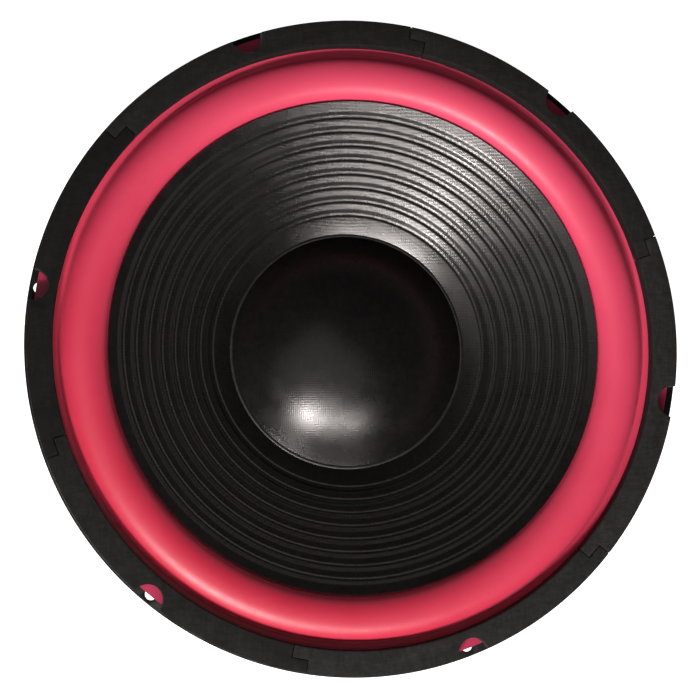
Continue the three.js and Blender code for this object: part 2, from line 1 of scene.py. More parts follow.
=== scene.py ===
"""Looks of a twelve-inch car subwoofer driver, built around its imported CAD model.

Lengths in the named dimensions are millimetres and are turned into metres by MM as each piece is made.
The driver lies on its magnet and faces up: +Z is its front, and the camera looks down on it.
"""

import json
import math

import bmesh
import bpy
import numpy as np
from mathutils import Matrix, Vector


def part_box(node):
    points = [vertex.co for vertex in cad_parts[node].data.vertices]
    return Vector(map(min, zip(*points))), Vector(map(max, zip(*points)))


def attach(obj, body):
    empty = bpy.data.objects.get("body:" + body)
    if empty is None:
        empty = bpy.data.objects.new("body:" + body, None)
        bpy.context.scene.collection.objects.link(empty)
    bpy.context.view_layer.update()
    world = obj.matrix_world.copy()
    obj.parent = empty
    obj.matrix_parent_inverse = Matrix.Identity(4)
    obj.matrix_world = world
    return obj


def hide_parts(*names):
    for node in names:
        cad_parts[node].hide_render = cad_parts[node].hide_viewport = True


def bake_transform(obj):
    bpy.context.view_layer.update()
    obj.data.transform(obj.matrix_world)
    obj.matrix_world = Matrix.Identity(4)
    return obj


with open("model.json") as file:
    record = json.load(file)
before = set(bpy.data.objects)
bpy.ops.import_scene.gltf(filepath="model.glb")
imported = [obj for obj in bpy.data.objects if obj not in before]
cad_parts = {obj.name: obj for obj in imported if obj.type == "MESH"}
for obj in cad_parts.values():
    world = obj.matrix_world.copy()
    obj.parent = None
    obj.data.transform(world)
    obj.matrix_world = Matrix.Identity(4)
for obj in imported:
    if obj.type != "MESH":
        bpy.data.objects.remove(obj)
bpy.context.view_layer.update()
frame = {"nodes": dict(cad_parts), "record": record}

MM = 0.001
TURN = 2 * math.pi


# ---------------------------------------------------------------- measures taken from the frame

def low_high(node):
    """Lowest and highest corner of a CAD node, in millimetres."""
    low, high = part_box(node)
    return Vector(low) / MM, Vector(high) / MM


def radius_of(node):
    low, high = low_high(node)
    return (high.x - low.x) / 2


OUTER_R = radius_of("basket")
GASKET_LOW_Z = low_high("gasket_segment_1")[0].z
GASKET_TOP_Z = low_high("gasket_segment_1")[1].z
SURROUND_LOW_Z = low_high("surround")[0].z
SURROUND_R = radius_of("surround")
CAP_TOP_Z = low_high("dust_cap")[1].z
CAP_R = radius_of("dust_cap")
CONE_TOP_Z = low_high("cone")[1].z
CONE_R = radius_of("cone")
SPIDER_R = radius_of("spider")
FORMER_R = radius_of("voice_coil_former")

# ---------------------------------------------------------------- dimensions of the driver

SCREW_COUNT = 6
SECTOR = 360 / SCREW_COUNT
SCREW_ANGLE = -9.5  # degrees from +X of the first screw
SCREW_CIRCLE_R = 150.5
SCREW_HOLE_R = 2.75
LEG_ANGLE = SCREW_ANGLE + SECTOR / 2

GASKET_OUTER_R = 154.2
GASKET_INNER_R = 142.2
GASKET_LAP_R = 148.25
GASKET_JOINT_ANGLE = 19.2
GASKET_LAP_HALF_ANGLE = 1.5
GASKET_BEVEL = 0.8
NOTCH_HALF_WIDTH = 7.4
NOTCH_DEPTH = 7.6
SEAM = 0.3  # gap between two gasket segments
GASKET_PAINTED_LIGHT = (0.016, 0.014, 0.007, 0.012, 0.019, 0.022)  # painted light: each segment's black is lighter or darker to stand in for the light on its side, darkest on the left and palest on the right

FOAM = 0.9
ROLL_OUTER_R = 138.6
ROLL_INNER_R = 117.8
ROLL_HEIGHT = 7.8
SURROUND_LIP_R = 114
PAINTED_LIGHT_SIDE = 60  # direction in which the foam is painted paler, standing in for the stronger light on that side
FLANGE_REACH = 1.0  # how far the foam reaches past its CAD edge
FLANGE_LEAN = 1.3  # how far the foam's outer edge was glued off centre
FLANGE_LEAN_ANGLE = 60

PAPER = 0.9
CONE_SLOPE = 0.532
CONE_NECK_R = 26.5
GROOVE_COUNT = 8
GROOVE_PITCH = 6.22
GROOVE_OUTER_R = 108.6  # where the outermost groove begins
GROOVE_DEPTH = 0.6
GROOVE_FALL = 0.24  # parts of a pitch, going outward: quick fall, flat floor, slow rise
GROOVE_FLOOR = 0.1
GROOVE_RISE = 0.36
GROOVE_STEPS = 24  # rings of the mesh in one pitch

CAP_THICK = 0.8
CAP_RISE = 21.5
STEEL = 1.5
RIM_REACH = 0.9  # how far the pressing's rim reaches past its CAD edge
RIM_LEAN = 0.9  # how far the rim stands off centre
RIM_LEAN_ANGLE = 36
LEG_HALF_WIDTH = 11
LEG_LOW = (88, 66)
LEG_HIGH = (133, 109)
WINDOW_INNER_R = 91
WINDOW_OUTER_R = 130
SHELF_Z = 63.5
RIVET_COUNT = 4
ZINC = (0.62, 0.60, 0.55)

ROUND = 192  # sides of a large ring
SMALL_ROUND = 48


# ---------------------------------------------------------------- mesh helpers

def polar(radius, degrees, z=0.0):
    angle = math.radians(degrees)
    return Vector((radius * math.cos(angle), radius * math.sin(angle), z))


def smoothstep(low, high, value):
    t = min(max((value - low) / (high - low), 0.0), 1.0)
    return t * t * (3 - 2 * t)


def mesh_of(name, vertices, faces):
    mesh = bpy.data.meshes.new(name)
    mesh.from_pydata(vertices, [], faces)
    return mesh


def as_object(name, mesh, sharp=40):
    """New object from a mesh in metres, smooth except where its faces meet at more than sharp degrees."""
    obj = bpy.data.objects.new(name, mesh)
    bpy.context.scene.collection.objects.link(obj)
    mesh.shade_smooth()
    mesh.set_sharp_from_angle(angle=math.radians(sharp))
    return obj


def area_of(outline):
    """Signed area of a closed outline, positive when it runs anticlockwise."""
    total = 0.0
    for (r0, z0), (r1, z1) in zip(outline, outline[1:] + outline[:1]):
        total += r0 * z1 - r1 * z0
    return total / 2


def lathe_mesh(name, outline, sides=ROUND):
    """Closed outline of (radius, height) points in millimetres, turned about Z."""
    outline = [tuple(point) for point in outline]
    if area_of(outline) < 0:
        outline.reverse()
    vertices = []
    rows = []
    for radius, z in outline:
        if radius < 1e-6:
            rows.append([len(vertices)] * sides)
            vertices.append((0.0, 0.0, z * MM))
            continue
        rows.append(list(range(len(vertices), len(vertices) + sides)))
        for i in range(sides):
            angle = TURN * i / sides
            vertices.append((radius * MM * math.cos(angle), radius * MM * math.sin(angle), z * MM))
    faces = []
    for row, following in zip(rows, rows[1:] + rows[:1]):
        for i in range(sides):
            j = (i + 1) % sides
            corners = [row[i], row[j], following[j], following[i]]
            face = list(dict.fromkeys(corners))
            if len(face) > 2:
                faces.append(face)
    return mesh_of(name, vertices, faces)


def lathe(name, outline, sides=ROUND, sharp=40):
    return as_object(name, lathe_mesh(name, outline, sides), sharp)


def ring_like(node, name, inner, fillet, steps=4, sides=ROUND, sharp=45):
    """Square-cut ring as wide and as high as a CAD node, with rounded edges."""
    low, high = low_high(node)
    outer = radius_of(node)
    outline = [(inner, low.z), (outer, low.z), (outer, high.z), (inner, high.z)]
    return lathe(name, rounded(outline, fillet, steps), sides, sharp)


def sheet(path, thickness):
    """Closed outline of a sheet of even thickness. The path of (radius, height) points is its middle."""
    points = [Vector(point) for point in path]
    front = []
    back = []
    for i, point in enumerate(points):
        into = point - points[i - 1] if i else points[1] - point
        out = points[i + 1] - point if i + 1 < len(points) else point - points[i - 1]
        into = into.normalized()
        along = (into + out.normalized()).normalized()
        across = Vector((-along.y, along.x)) * (thickness / 2 / max(along.dot(into), 0.5))
        front.append(tuple(point + across))
        back.append(tuple(point - across))
    return front + back[::-1]


def bend(start, corner, end, steps):
    """Points of a curve from start to end that turns at a corner."""
    result = []
    for step in range(steps + 1):
        t = step / steps
        result.append(start * (1 - t) ** 2 + corner * 2 * t * (1 - t) + end * t * t)
    return result


def rounded(outline, fillet, steps=4):
    """The same closed outline with each corner off the axis rounded."""
    result = []
    count = len(outline)
    for i in range(count):
        corner = Vector(outline[i])
        if corner.x < 1e-6:
            result.append(tuple(corner))
            continue
        before = Vector(outline[i - 1]) - corner
        after = Vector(outline[(i + 1) % count]) - corner
        reach = min(fillet, before.length * 0.45, after.length * 0.45)
        start = corner + before.normalized() * reach
        end = corner + after.normalized() * reach
        result += [tuple(point) for point in bend(start, corner, end, steps)]
    return result


def prism_mesh(name, outline, low, high):
    """Upright prism in millimetres from a flat anticlockwise outline of vectors."""
    count = len(outline)
    vertices = [(p.x * MM, p.y * MM, low * MM) for p in outline]
    vertices += [(p.x * MM, p.y * MM, high * MM) for p in outline]
    faces = [list(range(count - 1, -1, -1)), list(range(count, 2 * count))]
    for i in range(count):
        j = (i + 1) % count
        faces.append([i, j, count + j, count + i])
    return mesh_of(name, vertices, faces)


def prism(name, outline, low, high):
    return as_object(name, prism_mesh(name, outline, low, high))


def joined(name, parts, sharp=40):
    """One object from several, which are used up."""
    shape = bmesh.new()
    for part in parts:
        mesh = part.data
        mesh.transform(part.matrix_world)
        shape.from_mesh(mesh)
        bpy.data.objects.remove(part)
        bpy.data.meshes.remove(mesh)
    mesh = bpy.data.meshes.new(name)
    shape.to_mesh(mesh)
    shape.free()
    return as_object(name, mesh, sharp)


def with_modifiers_applied(obj, sharp=40):
    """Bakes an object's modifiers into its mesh."""
    bpy.context.view_layer.update()
    graph = bpy.context.evaluated_depsgraph_get()
    mesh = bpy.data.meshes.new_from_object(obj.evaluated_get(graph))
    obj.modifiers.clear()
    obj.data = mesh
    mesh.shade_smooth()
    mesh.set_sharp_from_angle(angle=math.radians(sharp))


def cut(obj, tool):
    """Takes the tool's shape away from obj, and removes the tool."""
    modifier = obj.modifiers.new("cut", "BOOLEAN")
    modifier.operation = "DIFFERENCE"
    modifier.solver = "EXACT"
    modifier.object = tool
    with_modifiers_applied(obj)
    bpy.data.objects.remove(tool)


def bevelled(obj, width, segments=2, angle=40):
    modifier = obj.modifiers.new("bevel", "BEVEL")
    modifier.width = width * MM
    modifier.segments = segments
    modifier.limit_method = "ANGLE"
    modifier.angle_limit = math.radians(angle)
    modifier.use_clamp_overlap = True
    with_modifiers_applied(obj, angle)


def lean_out(mesh, beyond, reach, lean, direction):
    """Moves what lies beyond a radius outward by reach, and off centre by lean towards a direction."""
    for vertex in mesh.vertices:
        radius = vertex.co.xy.length / MM
        if radius > beyond:
            turn = math.atan2(vertex.co.y, vertex.co.x) - math.radians(direction)
            vertex.co.xy *= (radius + reach + lean * math.cos(turn)) / radius


def tube_mesh(name, points, radius, sides=10):
    """Closed tube of a radius in millimetres along a list of points in millimetres."""
    vertices = []
    side = Vector((0, 0, 1))
    for i, point in enumerate(points):
        before = points[max(i - 1, 0)]
        after = points[min(i + 1, len(points) - 1)]
        along = (after - before).normalized()
        side = side - along * side.dot(along)
        if side.length < 1e-3:
            side = along.orthogonal()
        side = side.normalized()
        other = along.cross(side)
        for k in range(sides):
            angle = TURN * k / sides
            offset = side * math.cos(angle) + other * math.sin(angle)
            vertices.append((point + offset * radius) * MM)
    faces = [list(range(sides - 1, -1, -1))]
    for i in range(len(points) - 1):
        for k in range(sides):
            a = i * sides + k
            b = i * sides + (k + 1) % sides
            faces.append([a, b, b + sides, a + sides])
    last = (len(points) - 1) * sides
    faces.append(list(range(last, last + sides)))
    return mesh_of(name, vertices, faces)


def shifted(obj, x, y):
    """Moves a piece's mesh sideways by millimetres."""
    obj.data.transform(Matrix.Translation((x * MM, y * MM, 0)))
    return obj


def smooth_curve(points, steps):
    """Points along a Catmull-Rom curve through a list of vectors."""
    padded = [points[0] * 2 - points[1]] + points + [points[-1] * 2 - points[-2]]
    result = []
    for i in range(1, len(padded) - 2):
        p0, p1, p2, p3 = padded[i - 1:i + 3]
        for step in range(steps):
            t = step / steps
            result.append(0.5 * (
                p1 * 2 + (p2 - p0) * t + (p0 * 2 - p1 * 5 + p2 * 4 - p3) * t * t
                + (p1 * 3 - p0 - p2 * 3 + p3) * t ** 3
            ))
    result.append(points[-1].copy())
    return result


def settle(obj, material, body, slot, *nodes):
    """Gives a finished piece its material, puts it on its body and lets it stand for its CAD nodes."""
    obj.data.materials.append(material)
    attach(obj, body)
    finish_names(obj, slot, *nodes)


def finish_names(obj, slot, *nodes):
    if nodes:
        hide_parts(*nodes)


def blend_radially(obj):
    """Bakes a ring's placement into its mesh."""
    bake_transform(obj)


# ---------------------------------------------------------------- material helper

class Paint:
    """A Principled material and short ways of adding nodes to it."""

    def __init__(self, name, color, roughness, metallic=0.0, **sockets):
        self.material = bpy.data.materials.new(name)
        self.material.use_nodes = True
        self.tree = self.material.node_tree
        self.shader = self.tree.nodes["Principled BSDF"]
        self.shader.inputs["Base Color"].default_value = (*color, 1)
        self.shader.inputs["Roughness"].default_value = roughness
        self.shader.inputs["Metallic"].default_value = metallic
        for socket, value in sockets.items():
            self.shader.inputs[socket.replace("_", " ")].default_value = value
        self.place = self.node("ShaderNodeTexCoord").outputs["Object"]

    def node(self, kind, inputs=None, **settings):
        node = self.tree.nodes.new(kind)
        for key, value in settings.items():
            setattr(node, key, value)
        for key, value in (inputs or {}).items():
            if isinstance(value, bpy.types.NodeSocket):
                self.tree.links.new(value, node.inputs[key])
            else:
                node.inputs[key].default_value = value
        return node

    def noise(self, size, detail=3.0, rough=0.5, stretch=(1, 1, 1)):
        """Noise whose blotches are about size millimetres across."""
        scaled = self.node("ShaderNodeMapping", {"Vector": self.place, "Scale": stretch})
        inputs = {"Vector": scaled.outputs[0], "Scale": 1 / (size * MM), "Detail": detail,
                  "Roughness": rough}
        return self.node("ShaderNodeTexNoise", inputs).outputs["Fac"]

    def math(self, operation, first, second=0.0, third=0.0):
        inputs = {0: first, 1: second, 2: third}
        return self.node("ShaderNodeMath", inputs, operation=operation).outputs[0]

    def mixed(self, factor, first, second):
        inputs = {0: factor, 6: first, 7: second}
        return self.node("ShaderNodeMix", inputs, data_type="RGBA").outputs[2]

    def ranged(self, value, start, end, low=0.0, high=1.0):
        """Value between start and end spread over low to high."""
        inputs = {0: value, 1: start, 2: end, 3: low, 4: high}
        return self.node("ShaderNodeMapRange", inputs).outputs[0]

    def spread(self, noise, low, high):
        """The usual reach of a noise spread over low to high."""
        return self.ranged(noise, 0.3, 0.7, low, high)

    def wave(self, axis, pitch, wobble=0.0):
        """Sine of a coordinate with a pitch in millimetres, from 0 to 1."""
        parts = self.node("ShaderNodeSeparateXYZ", {0: self.place})
        along = self.math("MULTIPLY", parts.outputs[axis], TURN / (pitch * MM))
        if wobble:
            along = self.math("MULTIPLY_ADD", self.noise(pitch * 12, 2), wobble, along)
        return self.math("MULTIPLY_ADD", self.math("SINE", along), 0.5, 0.5)

    def along(self, degrees, reach):
        """From 0 to 1 across the driver, towards an angle in the front view, over reach metres each way."""
        way = polar(1, degrees)
        dot = self.node("ShaderNodeVectorMath", {0: self.place, 1: way}, operation="DOT_PRODUCT")
        return self.ranged(dot.outputs["Value"], -reach, reach)

    def radius(self):
        """Distance from the driver's axis, in metres."""
        parts = self.node("ShaderNodeSeparateXYZ", {0: self.place})
        flat = self.node("ShaderNodeCombineXYZ", {0: parts.outputs[0], 1: parts.outputs[1], 2: 0.0})
        return self.node("ShaderNodeVectorMath", {0: flat.outputs[0]}, operation="LENGTH").outputs["Value"]

    def color(self, socket):
        self.tree.links.new(socket, self.shader.inputs["Base Color"])

    def drift(self, factor, first, second):
        """Lets the colour wander between two colours."""
        self.color(self.mixed(self.spread(factor, 0, 1), (*first, 1), (*second, 1)))

    def gloss(self, factor, low, high):
        """Lets the roughness wander between two values."""
        self.tree.links.new(self.spread(factor, low, high), self.shader.inputs["Roughness"])

    def bump(self, height, depth, normal=None):
        """Relief of a depth in millimetres."""
        inputs = {"Height": height, "Distance": depth * MM, "Strength": 1.0}
        if normal is not None:
            inputs["Normal"] = normal
        output = self.node("ShaderNodeBump", inputs).outputs[0]
        for link in list(self.shader.inputs["Normal"].links):
            self.tree.links.remove(link)
        self.tree.links.new(output, self.shader.inputs["Normal"])
        return output


def foam_paint():
    """Dyed foam, painted paler towards one side to stand in for the stronger light there, and painted
    darker on the flange where the gasket's notches shade it.
    """
    paint = Paint("surround_foam", (0.74, 0.045, 0.10), 0.4, Specular_IOR_Level=0.62, Sheen_Weight=0.1,
                  Sheen_Roughness=0.4, Sheen_Tint=(1.0, 0.55, 0.62, 1))
    # painted light: the foam is mixed towards a paler pink on one side, standing in for the stronger light
    # there; the blotches are the dye's random tone
    blotch = paint.spread(paint.noise(22, 3), -0.06, 0.06)
    light_and_blotch = paint.math("ADD", paint.along(PAINTED_LIGHT_SIDE, 0.14), blotch)
    dye_and_light = paint.mixed(light_and_blotch, (0.67, 0.032, 0.072, 1), (1.0, 0.09, 0.19, 1))
    # painted shade: the flange under the gasket, seen only in the notches, is darker to stand in for the
    # notches' shadow
    flange = paint.ranged(paint.radius(), GASKET_INNER_R * MM, (GASKET_INNER_R + 4) * MM)
    paint.color(paint.mixed(flange, dye_and_light, (0.50, 0.026, 0.085, 1)))
    paint.gloss(paint.noise(4, 4), 0.37, 0.45)
    soft = paint.bump(paint.noise(1.6, 3), 0.03)
    paint.bump(paint.noise(0.35, 4), 0.02, soft)
    return paint.material


def gasket_paint(index):
    """Pressed fibre, each segment's black painted lighter or darker to stand in for the light on its side.
    """
    # painted light: the segment's black follows how strongly its side of the driver is lit
    shade = GASKET_PAINTED_LIGHT[index - 1]
    paint = Paint(f"gasket_fibre_{index}", (shade, shade, shade), 0.85, Specular_IOR_Level=0.2)
    fibre = paint.noise(1.4, 5, 0.65, (1, 0.25, 1))
    cross = paint.noise(1.1, 5, 0.65, (0.25, 1, 1))
    both = paint.math("MULTIPLY", fibre, cross)
    mask = paint.ranged(both, 0.15, 0.4)
    dark = (shade * 0.72, shade * 0.71, shade * 0.7, 1)
    pale = (shade * 1.5, shade * 1.46, shade * 1.4, 1)
    paint.color(paint.mixed(mask, dark, pale))
    paint.gloss(paint.noise(9, 3), 0.78, 0.92)
    coarse = paint.bump(paint.noise(7, 3), 0.25)
    paint.bump(both, 0.18, coarse)
    return paint.material


def cone_paint():
    """Black pressed paper with the imprint of the felting cloth."""
    paint = Paint("cone_paper", (0.007, 0.006, 0.0055), 0.28, Specular_IOR_Level=0.9)
    speck = paint.noise(2.2, 5, 0.7)
    paint.drift(speck, (0.005, 0.0043, 0.0039), (0.010, 0.0087, 0.0078))
    paint.gloss(paint.noise(14, 4, 0.6), 0.23, 0.32)
    weave = paint.math("MULTIPLY", paint.wave(0, 1.05, 4.0), paint.wave(1, 1.45, 5.0))
    cloth = paint.bump(weave, 0.026)
    streak = paint.bump(paint.noise(1.3, 5, 0.7), 0.06, cloth)
    paint.bump(paint.noise(16, 3), 0.12, streak)
    return paint.material


def cap_paint():
    """Lacquered paper with a finer woven imprint in rows."""
    paint = Paint("cap_paper", (0.006, 0.0053, 0.0053), 0.25, Specular_IOR_Level=0.6)
    speck = paint.noise(3, 4, 0.6)
    paint.drift(speck, (0.005, 0.0044, 0.0044), (0.009, 0.008, 0.008))
    paint.gloss(paint.noise(10, 3), 0.23, 0.31)
    weave = paint.math("ADD", paint.wave(0, 0.95, 2.0), paint.wave(1, 1.1, 2.0))
    cloth = paint.bump(weave, 0.012)
    speckle = paint.bump(paint.noise(1.0, 4, 0.7), 0.03, cloth)
    paint.bump(paint.noise(24, 2), 0.06, speckle)
    return paint.material


def enamel_paint():
    """Semi-matt black powder coat with a light orange peel and faint dust."""
    paint = Paint("basket_paint", (0.008, 0.008, 0.009), 0.56, Specular_IOR_Level=0.16)
    dust = paint.noise(30, 4, 0.6)
    paint.drift(dust, (0.006, 0.006, 0.0065), (0.012, 0.0115, 0.011))
    paint.gloss(paint.noise(12, 3), 0.50, 0.62)
    paint.bump(paint.noise(1.8, 3), 0.04)
    return paint.material


def turned_steel_paint(name, color, roughness):
    """Zinc-plated steel with fine rings left by the lathe."""
    paint = Paint(name, color, roughness, 1.0)
    rings = paint.math("MULTIPLY", paint.radius(), TURN / (0.7 * MM))
    lines = paint.math("MULTIPLY_ADD", paint.math("SINE", rings), 0.5, 0.5)
    stain = paint.noise(16, 4, 0.65)
    dull = [channel * tint for channel, tint in zip(color, (0.78, 0.74, 0.62))]
    paint.drift(stain, color, dull)
    paint.gloss(paint.noise(7, 4), roughness - 0.06, roughness + 0.1)
    fine = paint.bump(lines, 0.012)
    paint.bump(paint.noise(1.5, 4), 0.02, fine)
    return paint.material


def ferrite_paint():
    paint = Paint("ferrite", (0.035, 0.035, 0.038), 0.55, Specular_IOR_Level=0.5)
    grain = paint.noise(1.2, 5, 0.7)
    paint.drift(grain, (0.026, 0.026, 0.028), (0.055, 0.055, 0.058))
    paint.gloss(paint.noise(6, 3), 0.48, 0.65)
    paint.bump(grain, 0.08)
    return paint.material


def rubber_paint():
    paint = Paint("boot_rubber", (0.018, 0.018, 0.0185), 0.62, Specular_IOR_Level=0.4)
    bloom = paint.noise(18, 4, 0.6)
    paint.drift(bloom, (0.014, 0.014, 0.0145), (0.028, 0.028, 0.029))
    paint.gloss(paint.noise(5, 4), 0.55, 0.72)
    paint.bump(paint.noise(0.8, 4), 0.05)
    return paint.material


def spider_paint():
    """Resin-dipped open weave."""
    paint = Paint("spider_cloth", (0.42, 0.26, 0.08), 0.8, Specular_IOR_Level=0.3)
    weave = paint.math("MULTIPLY", paint.wave(0, 0.9, 1.0), paint.wave(1, 0.9, 1.0))
    stain = paint.noise(12, 4)
    cloth = paint.mixed(weave, (0.16, 0.085, 0.02, 1), (0.50, 0.31, 0.10, 1))
    paint.color(paint.mixed(paint.spread(stain, 0, 0.5), cloth, (0.30, 0.17, 0.045, 1)))
    paint.gloss(stain, 0.7, 0.9)
    paint.bump(weave, 0.18)
    return paint.material


def film_paint():
    paint = Paint("former_film", (0.30, 0.12, 0.025), 0.3, Coat_Weight=0.5, Coat_Roughness=0.15)
    smear = paint.noise(8, 4)
    paint.drift(smear, (0.34, 0.14, 0.03), (0.22, 0.085, 0.018))
    paint.gloss(smear, 0.24, 0.38)
    paint.bump(paint.wave(2, 3.0), 0.03)
    return paint.material


def wire_paint():
    """Close-wound lacquered copper: one ridge for each turn."""
    paint = Paint("coil_wire", (0.62, 0.22, 0.08), 0.28, 1.0)
    turns = paint.wave(2, 0.45)
    # painted shade: the colour darkens in the grooves between turns, standing in for the shade there
    paint.color(paint.mixed(turns, (0.25, 0.07, 0.02, 1), (0.70, 0.27, 0.10, 1)))
    paint.gloss(paint.noise(5, 3), 0.22, 0.35)
    paint.bump(turns, 0.2)
    return paint.material


def plastic_paint(name, color, roughness, grain=0.03):
    """Moulded plastic: slight colour drift, uneven gloss and fine grain."""
    paint = Paint(name, color, roughness, Specular_IOR_Level=0.5)
    drift = paint.noise(9, 3)
    light = [min(channel * 1.18 + 0.002, 1) for channel in color]
    dark = [channel * 0.85 for channel in color]
    paint.drift(drift, dark, light)
    paint.gloss(paint.noise(3, 5, 0.7), roughness - 0.06, roughness + 0.1)
    paint.bump(paint.noise(0.5, 4), grain)
    return paint.material


def metal_paint(name, color, roughness):
    """Plated metal with faint tarnish."""
    paint = Paint(name, color, roughness, 1.0)
    tarnish = paint.noise(3.5, 4, 0.6)
    paint.drift(tarnish, color, [channel * 0.7 for channel in color])
    paint.gloss(paint.noise(1.8, 4), roughness - 0.06, roughness + 0.12)
    paint.bump(paint.noise(0.6, 4), 0.015)
    return paint.material


def glue_paint(name, color, roughness):
    paint = Paint(name, color, roughness, Specular_IOR_Level=0.5, Coat_Weight=0.3, Coat_Roughness=0.2)
    lump = paint.noise(5, 3)
    paint.drift(lump, color, [channel * 0.8 for channel in color])
    paint.gloss(paint.noise(3, 3), roughness - 0.08, roughness + 0.1)
    paint.bump(lump, 0.25)
    return paint.material


def braid_paint():
    paint = Paint("tinsel_braid", (0.55, 0.25, 0.11), 0.38, 0.85)
    strand = paint.noise(0.5, 3, 0.5, (1, 1, 0.3))
    paint.drift(strand, (0.33, 0.13, 0.055), (0.70, 0.36, 0.18))
    paint.gloss(strand, 0.3, 0.5)
    paint.bump(strand, 0.12)
    return paint.material


# ---------------------------------------------------------------- front of the driver

def cone_z(radius):
    """Height of the middle of the cone paper, without ribs."""
    return CONE_TOP_Z - PAPER / 2 - CONE_SLOPE * (CONE_R - radius)


def groove(radius):
    """How far the grooves between the ribs lie below the plain cone wall."""
    turns = (radius - GROOVE_OUTER_R) / GROOVE_PITCH
    if turns < 1 - GROOVE_COUNT or turns > 1:
        return 0.0
    part = turns % 1.0
    rise = GROOVE_FALL + GROOVE_FLOOR
    return GROOVE_DEPTH * (smoothstep(0, GROOVE_FALL, part) - smoothstep(rise, rise + GROOVE_RISE, part))


def make_cone():
    radii = [CONE_R, CONE_R - 1]
    for i in range(GROOVE_STEPS * GROOVE_COUNT + 1):
        radius = GROOVE_OUTER_R + GROOVE_PITCH * (1 - i / GROOVE_STEPS)
        if radius < CONE_R - 2:
            radii.append(radius)
    radii += [58, 50, 40, CONE_NECK_R + 1, CONE_NECK_R]
    path = [(radius, cone_z(radius) - groove(radius)) for radius in radii]
    cone = lathe("cone_paper_shell", sheet(path, PAPER), 256, 60)
    settle(cone, cone_paint(), "cone_assembly", "cone_paper", "cone")


def cap_outline():
    """Spherical dome of even thickness, from its top out to its edge and back."""
    sphere_r = (CAP_R ** 2 + CAP_RISE ** 2) / (2 * CAP_RISE)
    edge = math.asin(CAP_R / sphere_r)
    parts = 28
    outline = []
    for radius, way in ((sphere_r, 1), (sphere_r - CAP_THICK, -1)):
        for i in range(parts + 1)[::way]:
            angle = edge * i / parts
            outline.append((radius * math.sin(angle), CAP_TOP_Z - sphere_r + radius * math.cos(angle)))
    return outline


def make_dust_cap():
    cap = lathe("dust_cap_dome", cap_outline(), ROUND, 60)
    settle(cap, cap_paint(), "cone_assembly", "cap_paper", "dust_cap")


def make_glue_bead():
    """Bead of black adhesive round the dust cap's edge, slightly uneven."""
    half_width = 1.0
    half_height = 0.55
    centre_r = CAP_R + 0.7
    centre_z = cone_z(centre_r) + PAPER / 2 + 0.25
    outline = []
    for i in range(14):
        angle = TURN * i / 14
        outline.append((centre_r + half_width * math.cos(angle), centre_z + half_height * math.sin(angle)))
    bead = lathe("cap_glue_bead", outline, ROUND, 60)
    for vertex in bead.data.vertices:
        angle = math.atan2(vertex.co.y, vertex.co.x)
        vertex.co.z += (0.072 * math.sin(7 * angle + 1) + 0.048 * math.sin(17 * angle)) * MM
    settle(bead, glue_paint("black_glue", (0.009, 0.008, 0.008), 0.5), "cone_assembly", "cap_paper")


def make_surround():
    """Half roll between a flat flange under the gasket and a lip under the cone's edge."""
    z = SURROUND_LOW_Z + FOAM / 2
    centre = (ROLL_OUTER_R + ROLL_INNER_R) / 2
    half = (ROLL_OUTER_R - ROLL_INNER_R) / 2
    path = [(SURROUND_R, z), (146, z), (ROLL_OUTER_R + 1.5, z), (ROLL_OUTER_R + 0.6, z + 0.1)]
    parts = 44
    for i in range(2, parts - 1):
        angle = math.pi * i / parts
        path.append((centre + half * math.cos(angle), z + ROLL_HEIGHT * math.sin(angle)))
    lip_top = ROLL_INNER_R - 0.6
    path += [(lip_top, z + 0.1), (SURROUND_LIP_R, z - CONE_SLOPE * (lip_top - SURROUND_LIP_R))]
    surround = lathe("surround_roll", sheet(path, FOAM), 256, 60)
    lean_out(surround.data, GASKET_LAP_R, FLANGE_REACH, FLANGE_LEAN, FLANGE_LEAN_ANGLE)
    surround.data.materials.append(foam_paint())
    blend_radially(surround)
    finish_names(surround, "surround_foam", "surround")


def gasket_outline(first_joint):
    """Flat outline of one gasket segment, anticlockwise."""
    slack = math.degrees(SEAM / 2 / GASKET_LAP_R)
    start = first_joint + slack
    end = first_joint + SECTOR - slack
    lap = GASKET_LAP_HALF_ANGLE
    notch = SCREW_ANGLE + SECTOR * round((first_joint + SECTOR / 2 - SCREW_ANGLE) / SECTOR)
    notch_half = math.degrees(math.asin(NOTCH_HALF_WIDTH / GASKET_OUTER_R))

    def arc(radius, first, last, parts):
        return [polar(radius, first + (last - first) * i / parts) for i in range(parts + 1)]

    points = arc(GASKET_INNER_R, start - lap, end - lap, 60)
    points += arc(GASKET_LAP_R + SEAM / 2, end - lap, end + lap, 3)
    points += arc(GASKET_OUTER_R, end + lap, notch + notch_half, 30)
    mouth = GASKET_OUTER_R * math.cos(math.radians(notch_half))
    for i in range(1, 24):
        angle = math.pi * i / 24
        deep = polar(mouth - NOTCH_DEPTH * math.sin(angle), notch)
        points.append(deep + polar(NOTCH_HALF_WIDTH * math.cos(angle), notch + 90))
    points += arc(GASKET_OUTER_R, notch - notch_half, start + lap, 30)
    points += arc(GASKET_LAP_R - SEAM / 2, start + lap, start - lap, 3)
    return points


def make_gasket_segment(index):
    outline = gasket_outline(GASKET_JOINT_ANGLE + index * SECTOR)
    mesh = prism_mesh(f"gasket_{index + 1}", outline, GASKET_LOW_Z, GASKET_TOP_Z)
    shape = bmesh.new()
    shape.from_mesh(mesh)
    top = [e for e in shape.edges if all(v.co.z > (GASKET_TOP_Z - 0.1) * MM for v in e.verts)]
    inner = [e for e in top if all(v.co.xy.length < (GASKET_INNER_R + 0.1) * MM for v in e.verts)]
    bmesh.ops.bevel(shape, geom=inner, offset=GASKET_BEVEL * MM, segments=4, profile=0.6,
                    affect="EDGES", clamp_overlap=True)
    shape.to_mesh(mesh)
    shape.free()
    segment = as_object(f"gasket_arc_{index + 1}", mesh)
    bevelled(segment, 0.35, 2)
    settle(segment, gasket_paint(index + 1), "frame", "gasket_fibre", f"gasket_segment_{index + 1}")


# ---------------------------------------------------------------- basket

